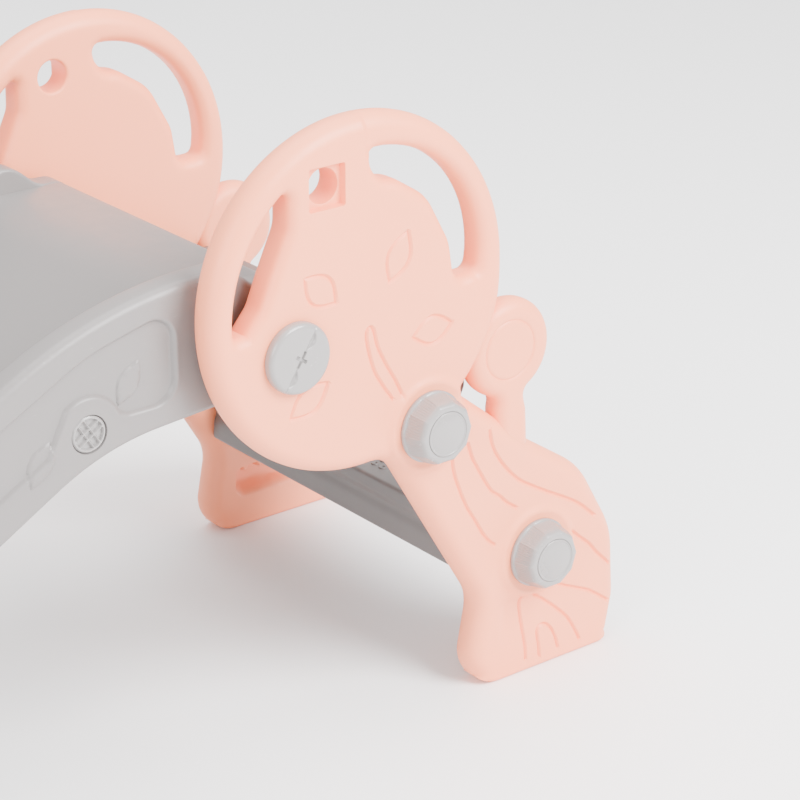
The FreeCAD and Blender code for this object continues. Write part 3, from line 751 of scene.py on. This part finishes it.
def panel_slabs():
    """The crown and trunk with their windows, then the leaf lobe and its stalk."""
    chosen = sizes()
    edge = chosen.panel_round / MM
    outline = crowned(CROWN, chosen.crown_radius / MM, TRUNK, (8, 34))
    on_floor = outline[:, 1] < 9
    grip = window_loop(GRIP_WINDOW, GRIP_MIDDLE, GRIP_RADIUS, 8.0)
    rear = window_loop(REAR_WINDOW, CROWN, REAR_RADIUS, 4.0)
    bore = circle_loop(SOCKET, 16.5, 1.6)
    out_relief, out_rows = tree_outer_relief(chosen.groove_width / MM, chosen.groove_depth / MM)
    in_relief, in_rows = tree_inner_relief()
    tree = slab([outline, grip, rear, bore],
                [(open_edge(outline, ~on_floor), False, edge, edge),
                 (open_edge(outline, on_floor), False, 6.0, 6.0),
                 (grip, True, 12.0, 12.0), (rear, True, 12.0, 12.0), (bore, True, 0.8, 3.0)],
                out_rows + in_rows, 5.0, PANEL_OUTER - PANEL_INNER, out_relief, in_relief)
    lobe = crowned(LOBE, 50, STALK, (10, 10), 2.5)
    mark = Engraving([(circle_loop((LOBE[0] - 3, LOBE[1] + 1), 29.8, 2.0), True)], 1.8, 1.2)
    return tree, slab([lobe], [(lobe, True, 13.5, 13.5)], mark.rows(), 4.0, 30.0, mark)


class SLIDE_OT_panels(bpy.types.Operator):
    """Both blow-moulded side panels: crown, trunk, hand windows, leaf lobe and stalk"""
    bl_idname = "slide.panels"
    bl_label = "Side panels"

    def execute(self, context):
        tree, lobe = panel_slabs()
        middle = (PANEL_INNER + PANEL_OUTER) / 2
        for side_name, side in SIDES:
            parts = [slab_piece(f"moulded_panel_{side_name}", tree, side * middle, side),
                     slab_piece("lobe", lobe, side * middle, side)]
            panel = joined(f"moulded_panel_{side_name}", parts)
            finish_piece(panel, MOULDED_CREASE, "frame", "pink_panel", panel_plastic(),
                         f"side_panel_{side_name}")
        return {"FINISHED"}


# ------------------------------------------------------------------ steps

TREAD_TOP = 39.6
STEP_SECTION = [(-73.6, 28, 5), (-71.5, 40, 4), (-60, TREAD_TOP, 0), (60, TREAD_TOP, 0), (70, 40, 8),
                (76, 10, 12), (66, -12, 12), (-75, -12.5, 4), (-73, 8, 20), (-69.5, 17, 8)]


def step_surface(name, axis, half_width):
    """A tread: a closed section in x and z carried along y, drawn in at both ends.

    Near an end the section shrinks about its middle by r * (1 - cos(angle)), which rounds it.
    """
    section = rounded_run(STEP_SECTION, step=1.5)
    middle = np.array([0.0, 14.0])
    bevel = 5.0
    angle = np.linspace(0, math.pi / 2, 6)
    flat = np.linspace(-half_width + bevel, half_width - bevel, 60)[1:-1]
    along = np.concatenate([-half_width + bevel * (1 - np.sin(angle))[::-1], flat,
                            half_width - bevel * (1 - np.sin(angle))])
    inward = bevel * (1 - np.cos(angle))
    inward = np.concatenate([inward[::-1], 0 * flat, inward])
    away = section - middle
    scale = 1 - inward[:, None] / np.linalg.norm(away, axis=1)[None]
    count = len(section)
    verts = np.stack([axis[0] + middle[0] + away[:, 0] * scale, np.repeat(along[:, None], count, 1),
                      axis[2] + middle[1] + away[:, 1] * scale], -1).reshape(-1, 3)
    quads = grid_quads(len(along), count)[:, [0, 3, 2, 1]]
    caps = [tuple(range(count)), tuple(range(len(verts) - count, len(verts)))[::-1]]
    return new_piece(name, verts, quads.tolist() + caps)


def dots(name, centres, top, radius=4.2, height=1.3):
    """Small anti-slip rings: each a ring profile turned about an upright axis."""
    profile = np.array([(radius, -0.6), (radius - 0.3, 0.6 * height), (radius - 1.0, height),
                        (radius - 1.8, 0.7 * height), (radius - 2.3, 0.15 * height), (0.0, 0.1 * height)])
    around = 14
    angle = full_turn(around)
    ring = np.stack([profile[:, :1] * np.cos(angle), profile[:, :1] * np.sin(angle),
                     np.repeat(profile[:, 1:], around, 1)], -1).reshape(-1, 3)
    quads = grid_quads(len(profile), around)
    verts = (ring[None] + np.array([(x, y, top) for x, y in centres])[:, None]).reshape(-1, 3)
    faces = (quads[None] + (np.arange(len(centres)) * len(ring))[:, None, None]).reshape(-1, 4)
    return new_piece(name, verts, faces.tolist())


def stud(name, axis, side, inner, tip, radius=10.8):
    """A stud with a shallow thread: radius falls and rises once per pitch along its length."""
    rows = np.linspace(inner, tip, 70)
    wave = 0.35 * np.cos(2 * math.pi * rows / 4.0)
    profile = [(0.01, inner)] + [(radius + w - 0.35, r) for r, w in zip(rows, wave)] + [(0.01, tip)]
    return lathe(name, profile, 32, (axis[0], 0.0, axis[2]), side)


class SLIDE_OT_steps(bpy.types.Operator):
    """Both tread boards with their anti-slip rings, raised edges and studs"""
    bl_idname = "slide.steps"
    bl_label = "Steps"

    def execute(self, context):
        pitch = sizes().dot_pitch / MM
        for name, axis in (("lower", LOWER_STUD), ("upper", UPPER_STUD)):
            tip = node_box(f"{name}_step")[1][1]
            half = PANEL_INNER - CLEARANCE
            board = step_surface(f"{name}_tread", axis, half)
            spots = [(axis[0] + row + dx * pitch * 0.9, group + dy * pitch * 0.9)
                     for row in np.arange(-44, 45, pitch * 2.0)
                     for group in np.arange(-half + 40, half - 39, pitch * 4.5)
                     for dy in (-0.55, 0.55) for dx in (-0.5, 0.5)]
            grips = dots("dots", spots, axis[2] + TREAD_TOP)
            studs = [stud("stud", axis, side, half - 6, tip - 0.01) for _, side in SIDES]
            tread = joined(f"{name}_tread", [board, grips, *studs])
            finish_piece(tread, MOULDED_CREASE, "frame", "grey_board", board_plastic(), f"{name}_step")
        return {"FINISHED"}


# ------------------------------------------------------------------ chute

RIM, BED, BELLY = 464.5, 376.6, 329.5
RIM_TOP = 487.5
SPLIT = -150.0
LOWER_START = SPLIT - 0.4
SKIN = 4.0
FOOT = -610.0


def slope(x, height, radius=0):
    """A corner on a line of the chute that would stand at height where x is 0."""
    return x, height + SLOPE * x, radius


WALL_UPPER = [(236, 366, 30), (236, 463, 18), (200, 464, 30), (172, RIM_TOP, 30),
              ((RIM_TOP - RIM) / SLOPE, RIM_TOP, 430), slope(SPLIT, RIM), slope(SPLIT, BELLY),
              slope(35, BELLY, 250)]
WALL_LOWER = [slope(LOWER_START, RIM), slope(-515, RIM, 150), (FOOT, 146, 55), (FOOT, 0, 14),
              (-556, 0, 14), (-540, 34, 20), slope(-500, BELLY, 30), slope(LOWER_START, BELLY)]
BED_UPPER = [(235.9, 366, 0), (235.9, 462.8, 17), (150, 463, 120), slope(SPLIT, BED)]
BED_LOWER = [slope(LOWER_START, BED), slope(-505, BED, 220), (-596, 79.8, 10), (-609.8, 70, 10),
             (-609.8, 0, 0)]


def arc_over(centre, radius, start, end):
    """Corner entries along an arc, for a run that passes over a screw boss."""
    return [(x, z, 0) for x, z in arc_points(centre, radius, start, end, 4.0)]


def recess_upper():
    one, two = CHUTE_SCREWS
    return ([(110, 376, 24), (110, 465, 22), (20, 442, 200), slope(-134, 436, 14), slope(-134, 393, 10),
             slope(two[0] - 8, 396, 6)]
            + arc_over(two, 34, 95, 42) + [slope(two[0] + 32, 368, 8), slope(one[0] - 40, 368, 8)]
            + arc_over(one, 33, 130, 20) + [(one[0] + 41, 376, 8)])


RECESS_LOWER = [slope(-166, 368, 16), slope(-166, 434.5, 16), slope(-470, 434.5, 22),
                slope(-512, 412, 24), slope(-496, 368, 16)]
WALL_LEAVES_UPPER = [((51, 387), (74, 424), 22), ((-42, 334), (-19, 371), 22)]
WALL_LEAVES_LOWER = [((-226, 238), (-206, 274), 26), ((-326, 180), (-306, 216), 26),
                     ((-426, 122), (-406, 158), 26)]


def wall_relief(frame_corners, leaves, cups):
    """A chute wall's outer face: a beaded recess, raised leaves in it, and seats for screws."""
    depth = sizes().recess_depth / MM
    loop = rounded_run(frame_corners, step=2.5)
    shapes = [leaf(*one) for one in leaves]
    rows = offset_rows(loop, (-3.5, -1.8, 0.0, 1.4, 2.8, 4.2), True)
    for one in shapes:
        rows += offset_rows(one, (-1.0, 0.6, 2.0), True)
    for cup in cups:
        rows += [circle_loop(cup, r, 1.6) for r in (17.4, 18.2, 19.4, 21.0)]

    def relief(p):
        gap = signed(p, loop)
        height = -depth * (1 - blend_step((gap + 3.4) / 3.4))
        height += 0.8 * np.exp(-((gap - 2.0) / 1.8) ** 2)
        for one in shapes:
            height += 2.2 * (1 - blend_step((signed(p, one) + 1.6) / 2.2))
        for cup in cups:
            away = np.linalg.norm(p - cup, axis=1)
            height = np.where(away < 24, height * blend_step((away - 20) / 4), height)
            height -= 5.0 * np.clip((18.2 - away) / 0.8, 0, 1)
        return height

    return relief, rows


def bed_sheet(name, corners, half_width, section):
    """The channel floor: a side-view line carried across the slide, its sides curled up.

    Height above the line is r - sqrt(r^2 - k^2), where k is how far a point lies inside the
    last r before the wall; the underside is the same line moved down by the skin.
    """
    line = rounded_run(corners, closed=False, step=6.0)
    ahead = np.gradient(line, axis=0)
    ahead /= np.linalg.norm(ahead, axis=1)[:, None]
    up = np.stack([ahead[:, 1], -ahead[:, 0]], 1)
    cove = 18.0
    curl = cove * (1 - np.cos(np.linspace(0, math.pi / 2, 9)))
    across = np.concatenate([-half_width + curl,
                             np.linspace(-half_width + cove, half_width - cove, 26)[1:-1],
                             half_width - curl[::-1]])
    into = np.clip((np.abs(across) - half_width + cove) / cove, 0, 1)
    rise = cove * (1 - np.sqrt(1 - 0.96 * into ** 2))
    share = section(line)[:, None]
    top = line[:, None] + up[:, None] * (share * rise)[..., None]
    bottom = np.repeat((line - up * SKIN)[:, None], len(across), 1)
    wide = across[None] * (1 + (1 - share) * 0.085)
    verts = np.concatenate([np.stack([face[..., 0], wide, face[..., 1]], -1).reshape(-1, 3)
                            for face in (top, bottom)])
    rows, count = len(line), len(across)
    face = grid_quads(rows, count, wrap=False)
    loop = np.concatenate([np.arange(count), np.arange(1, rows) * count + count - 1,
                           (rows - 1) * count + np.arange(count - 2, -1, -1),
                           np.arange(rows - 2, 0, -1) * count])
    following = np.roll(loop, -1)
    wall = np.stack([following, loop, loop + rows * count, following + rows * count], -1)
    return new_piece(name, verts, np.concatenate([face, face[:, ::-1] + rows * count, wall]).tolist())


def chute_section(name, wall, bed, recess, leaves, cups, section):
    """Two walls and the floor between them, as one piece."""
    outline = rounded_run(wall, step=3.0)
    wide = sizes().wall_width / MM
    outer = abs(float(CHUTE_LOW[1]))
    relief, rows = wall_relief(recess, leaves, cups)
    high = outline[:, 1] > slope(outline[:, 0], BED)[1] + 20
    off_joint = np.abs(outline[:, 0] - SPLIT) > 0.5
    rim_round = sizes().rim_round / MM
    made = slab([outline], [(open_edge(outline, high & off_joint), False, rim_round, rim_round / 2),
                            (open_edge(outline, ~high & off_joint), False, 6.0, 3.0)],
                rows, 6.0, wide, relief)
    parts = []
    for _, side in SIDES:
        parts.append(slab_piece("wall", made, side * (outer - wide / 2), side))
        if name == "chute_upper_half":
            proud = PANEL_INNER - 0.32 - outer
            seat = [(24, -2), (24, proud - 1.2), (23.6, proud - 0.4), (22.8, proud), (0.01, proud)]
            parts.append(lathe("seat", seat, 64, (PIVOT[0], side * outer, PIVOT[2]), side))
    parts.append(bed_sheet("floor", bed, outer - wide + 1.0, section))
    return joined(name, parts)


class SLIDE_OT_chute(bpy.types.Operator):
    """Upper and lower chute sections: double walls with beaded recesses and a coved floor"""
    bl_idname = "slide.chute"
    bl_label = "Chute"

    def execute(self, context):
        upper = chute_section("chute_upper_half", WALL_UPPER, BED_UPPER, recess_upper(),
                              WALL_LEAVES_UPPER, CHUTE_SCREWS,
                              lambda line: blend_step((190 - line[:, 0]) / 60))
        finish_piece(upper, MOULDED_CREASE, "chute", "grey_chute", chute_plastic(), "upper_chute")
        lower = chute_section("chute_lower_half", WALL_LOWER, BED_LOWER, RECESS_LOWER,
                              WALL_LEAVES_LOWER, [],
                              lambda line: blend_step((line[:, 0] + 602) / 60))
        finish_piece(lower, MOULDED_CREASE, "chute", "grey_chute", chute_plastic(), "lower_chute")
        return {"FINISHED"}


# ------------------------------------------------------------------ nuts, bolts and screws

NUT_PROFILE = [(11.4, 0.0), (34.6, 0.0), (35.3, 0.4), (35.4, 1.0), (35.2, 3.2), (34.9, 3.9), (34.5, 4.4),
               (34.2, 6.0), (33.5, 10.0), (32.3, 16.0), (31.3, 20.0), (30.7, 22.0), (29.9, 23.8),
               (28.6, 25.2), (26.8, 25.95), (24.0, 26.0), (22.6, 26.0), (22.3, 25.7), (22.2, 25.0),
               (0.01, 25.0)]
CAP_PROFILE = [(0.01, 24.8), (21.9, 24.8), (21.9, 26.1), (21.5, 26.5), (20.6, 26.6), (20.2, 26.3),
               (19.7, 26.2), (19.2, 26.3), (18.8, 26.55), (0.01, 26.6)]


class SLIDE_OT_nuts(bpy.types.Operator):
    """Four faceted hand nuts and their front caps"""
    bl_idname = "slide.nuts"
    bl_label = "Hand nuts"

    def execute(self, context):
        sector = 2 * math.pi / sizes().nut_lobes
        ridge = sizes().ridge_depth / MM
        profile = np.array(NUT_PROFILE)
        share = blend_step((profile[:, 1] - 3.4) / 1.6) * blend_step((profile[:, 0] - 23.5) / 4)
        fine = share * (profile[:, 1] < 21)

        def facets(angle, row):
            from_middle = (angle / sector) % 1 - 0.5
            flat = math.cos(sector / 2) / np.cos(from_middle * sector)
            ribs = ridge * np.cos(8 * angle * sizes().nut_lobes)
            return profile[row, 0] * (flat - 1) * share[row] + ribs * fine[row]

        for level, axis in (("lower", LOWER_STUD), ("upper", UPPER_STUD)):
            for side_name, side in SIDES:
                base = PANEL_OUTER + BOSS_HEIGHT + CLEARANCE
                spot = (axis[0], side * base, axis[2])
                body = f"{level}_nut_{side_name}"
                nut = lathe(f"fluted_{body}", profile, 320, spot, side, facets)
                finish_piece(nut, TURNED_CREASE, body, "grey_nut", nut_plastic(), body)
                cap = lathe(f"front_cap_{level}_{side_name}", CAP_PROFILE, 96, spot, side)
                finish_piece(cap, TURNED_CREASE, body, "grey_cap", nut_plastic(),
                             f"{level}_nut_cap_{side_name}")
        return {"FINISHED"}


BOLT_TOP = 9.5
BOLT_PROFILE = [(14.0, -24.0), (14.0, -0.1), (33.0, -0.1), (33.7, 0.4), (33.8, 1.2), (33.8, 4.2),
                (33.4, 6.2), (32.3, 7.9), (30.7, 9.05), (29.4, 9.4), (28.5, BOLT_TOP)]
SCREW_PROUD = 3.6


def bolt_head(name, centre, side):
    """A hand bolt: turned shank and domed shoulder, and a face drawn as a height over a disc.

    The face is flat, with a crease along one diameter, a teardrop hollow at each end of it
    and a small cross slot in the middle.
    """
    rings = np.concatenate([np.linspace(28.5, 12.0, 34), np.linspace(12.0, 0.4, 40)[1:]])
    profile = np.array(BOLT_PROFILE + [(r, BOLT_TOP) for r in rings[1:]])
    radius, height = (np.repeat(profile[:, k:k + 1], 220, 1) for k in (0, 1))
    angle = full_turn(220) - math.radians(57)
    along = radius * np.cos(angle)
    beside = radius * np.sin(angle)
    on_face = blend_step((profile[:, 1:] - 6) / 3)
    crease = 0.9 * (1 - blend_step(np.abs(beside) / 1.1)) * blend_step((np.abs(along) - 7) / 2)
    half = 6.0 * np.sin(np.pi * np.clip((np.abs(along) - 10) / 18.5, 0, 1)) ** 0.8
    drop = 2.4 * blend_step(np.clip(np.minimum(-beside, half + beside), 0, None) / 2.4)

    def slot(across, ahead, reach):
        return (np.clip((1.7 - np.abs(across)) / 0.5, 0, 1)
                * np.clip((reach - np.abs(ahead)) / 0.5, 0, 1))

    cross = 2.4 * np.maximum(slot(beside, along, 8.5), slot(along, beside, 6.5))
    height = height - on_face * np.maximum(np.maximum(crease, drop), cross)
    return turned(name, radius, height, centre, side)


class SLIDE_OT_pivot_bolts(bpy.types.Operator):
    """Two broad hand bolts that the chute turns on"""
    bl_idname = "slide.pivot_bolts"
    bl_label = "Pivot bolts"

    def execute(self, context):
        for side_name, side in SIDES:
            spot = (PIVOT[0], side * (PANEL_OUTER + CLEARANCE), PIVOT[2])
            bolt = bolt_head(f"broad_pivot_bolt_{side_name}", spot, side)
            finish_piece(bolt, TURNED_CREASE, f"pivot_bolt_{side_name}", "grey_bolt", nut_plastic(),
                         f"pivot_bolt_{side_name}")
        return {"FINISHED"}


def screw_head(name, centre, side):
    """A round screw head with two crossed pairs of ribs, over a square grid bent to a disc."""
    count = 61
    line = np.linspace(-1, 1, count)
    u, v = np.meshgrid(line, line, indexing="ij")
    x = 17.0 * u * np.sqrt(1 - v * v / 2)
    z = 17.0 * v * np.sqrt(1 - u * u / 2)
    tilt = math.radians(33)
    along = x * math.cos(tilt) + z * math.sin(tilt)
    beside = z * math.cos(tilt) - x * math.sin(tilt)
    radius = np.hypot(x, z)
    ribs = np.zeros_like(x)
    for one in (beside, along):
        ribs = np.maximum(ribs, np.clip((1.3 - np.abs(np.abs(one) - 3.6)) / 0.8, 0, 1))
    height = SCREW_PROUD - 3.2 * np.clip((14.5 - radius) / 0.8, 0, 1) * (1 - ribs)
    height = np.minimum(height, SCREW_PROUD - 1.2 * blend_step((radius - 15.6) / 1.4))
    face = np.stack([centre[0] + x, centre[1] + side * height, centre[2] + z], -1).reshape(-1, 3)
    last = count - 1
    edge = np.concatenate([np.arange(last) * count, last * count + np.arange(last),
                           np.arange(last, 0, -1) * count + last, np.arange(last, 0, -1)])
    back = face[edge].copy()
    back[:, 1] = centre[1]
    quads = grid_quads(count, count, wrap=False)[:, [0, 3, 2, 1]]
    number = np.arange(len(edge)) + count * count
    wall = np.stack([edge, np.roll(edge, -1), np.roll(number, -1), number], -1)
    base = number[::-1]
    if side > 0:
        quads, wall, base = quads[:, ::-1], wall[:, ::-1], base[::-1]
    return new_piece(name, np.concatenate([face, back]), quads.tolist() + wall.tolist() + [tuple(base)])


class SLIDE_OT_chute_screws(bpy.types.Operator):
    """Four ribbed screws that hold the two chute sections together"""
    bl_idname = "slide.chute_screws"
    bl_label = "Chute screws"

    def execute(self, context):
        for order in ("upper", "lower"):
            for side_name, side in SIDES:
                node = f"chute_screw_{order}_{side_name}"
                low, high = node_box(node)
                middle = (low + high) / 2
                face = max(abs(low[1]), abs(high[1]))
                spot = (middle[0], side * (face - SCREW_PROUD), middle[2])
                screw = screw_head(f"ribbed_{node}", spot, side)
                finish_piece(screw, TURNED_CREASE, node, "grey_bolt", nut_plastic(), node)
        return {"FINISHED"}


class SLIDE_OT_inserts(bpy.types.Operator):
    """Moulded inserts inside the chute walls, kept as they are, in their own plastic"""
    bl_idname = "slide.inserts"
    bl_label = "Inserts"

    def execute(self, context):
        for node in ("pivot_insert_left", "pivot_insert_right", "screw_inserts"):
            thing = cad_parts[node]
            for item in thing.material_slots:
                item.material = insert_plastic()
        return {"FINISHED"}


# ------------------------------------------------------------------ stage

# name, place, point looked at, size in metres, power in watts
LIGHTS = (("key_light", (1.5, -3.0, 2.8), (0.35, -0.1, 0.3), 2.6, 520),
          ("top_light", (0.2, 0.4, 3.4), (0.3, 0.0, 0.0), 3.0, 120),
          ("fill_light", (-2.6, -1.6, 1.8), (0.3, 0.0, 0.25), 2.0, 90))
CAMERA_AT = (-1.0863, -2.0285, 1.2824)
CAMERA_RIGHT = (0.7840, -0.6208, 0.0)
CAMERA_BACK = (-0.5732, -0.7240, 0.3838)
CAMERA_LENS = 120.2


class SLIDE_OT_stage(bpy.types.Operator):
    """A plain pale floor, soft studio light and the camera"""
    bl_idname = "slide.stage"
    bl_label = "Stage"

    def execute(self, context):
        scene = context.scene
        far = 9000
        verts = [(-far, -far, 0), (far, -far, 0), (far, far, 0), (-far, far, 0)]
        floor = new_piece("studio_floor", verts, [(0, 1, 2, 3)], smooth=False)
        made = bpy.data.materials.new("studio_floor_paint")
        made.use_nodes = True
        tree = made.node_tree
        shader = tree.nodes["Principled BSDF"]
        place = tree.nodes.new("ShaderNodeTexCoord").outputs["Object"]
        cloud = noise(tree, place, 1.5, 2.0)
        mix = tree.nodes.new("ShaderNodeMix")
        mix.data_type = "RGBA"
        fill(mix, {"A": colours().floor, "B": tuple(0.985 * c for c in colours().floor[:3]) + (1,)})
        tree.links.new(cloud, mix.inputs["Factor"])
        tree.links.new(mix.outputs["Result"], shader.inputs["Base Color"])
        shader.inputs["Roughness"].default_value = 0.6
        floor.data.materials.append(made)

        world = bpy.data.worlds.new("studio")
        world.use_nodes = True
        fill(world.node_tree.nodes["Background"], {"Color": (1.0, 1.0, 1.0, 1), "Strength": 1.7})
        scene.world = world

        for name, at, look, size, power in LIGHTS:
            data = bpy.data.lights.new(name, "AREA")
            data.shape = "DISK"
            data.size = size
            data.energy = power
            lamp = bpy.data.objects.new(name, data)
            lamp.location = at
            lamp.rotation_euler = (Vector(look) - Vector(at)).to_track_quat("-Z", "Y").to_euler()
            scene.collection.objects.link(lamp)

        data = bpy.data.cameras.new("camera")
        data.lens = CAMERA_LENS
        data.sensor_width = 36.0
        data.clip_end = 100
        camera = bpy.data.objects.new("camera", data)
        back = Vector(CAMERA_BACK).normalized()
        up = back.cross(Vector(CAMERA_RIGHT)).normalized()
        turn = Matrix((up.cross(back), up, back)).transposed().to_4x4()
        camera.matrix_world = Matrix.Translation(Vector(CAMERA_AT)) @ turn
        scene.collection.objects.link(camera)
        scene.camera = camera
        return {"FINISHED"}


class SLIDE_PT_panel(bpy.types.Panel):
    """Lists the slide's sizes, colours and build steps"""
    bl_idname = "SLIDE_PT_panel"
    bl_label = "Toddler slide"
    bl_space_type = "VIEW_3D"
    bl_region_type = "UI"
    bl_category = "Slide"

    def draw(self, context):
        for group in (context.scene.slide_sizes, context.scene.slide_colours):
            for key in group.bl_rna.properties.keys():
                if key not in ("rna_type", "name"):
                    self.layout.prop(group, key)
        for step in STEPS:
            self.layout.operator(step.bl_idname)


STEPS = (SLIDE_OT_stage, SLIDE_OT_panels, SLIDE_OT_steps, SLIDE_OT_chute, SLIDE_OT_nuts,
         SLIDE_OT_pivot_bolts, SLIDE_OT_chute_screws, SLIDE_OT_inserts)
CLASSES = (SlideSizes, SlideColours, *STEPS, SLIDE_PT_panel)


def register():
    for one in CLASSES:
        bpy.utils.register_class(one)
    bpy.types.Scene.slide_sizes = PointerProperty(type=SlideSizes)
    bpy.types.Scene.slide_colours = PointerProperty(type=SlideColours)


def unregister():
    del bpy.types.Scene.slide_sizes
    del bpy.types.Scene.slide_colours
    for one in reversed(CLASSES):
        bpy.utils.unregister_class(one)


def main():
    register()
    bpy.ops.slide.stage()
    bpy.ops.slide.panels()
    bpy.ops.slide.steps()
    bpy.ops.slide.chute()
    bpy.ops.slide.nuts()
    bpy.ops.slide.pivot_bolts()
    bpy.ops.slide.chute_screws()
    bpy.ops.slide.inserts()


if __name__ == "__main__":
    main()
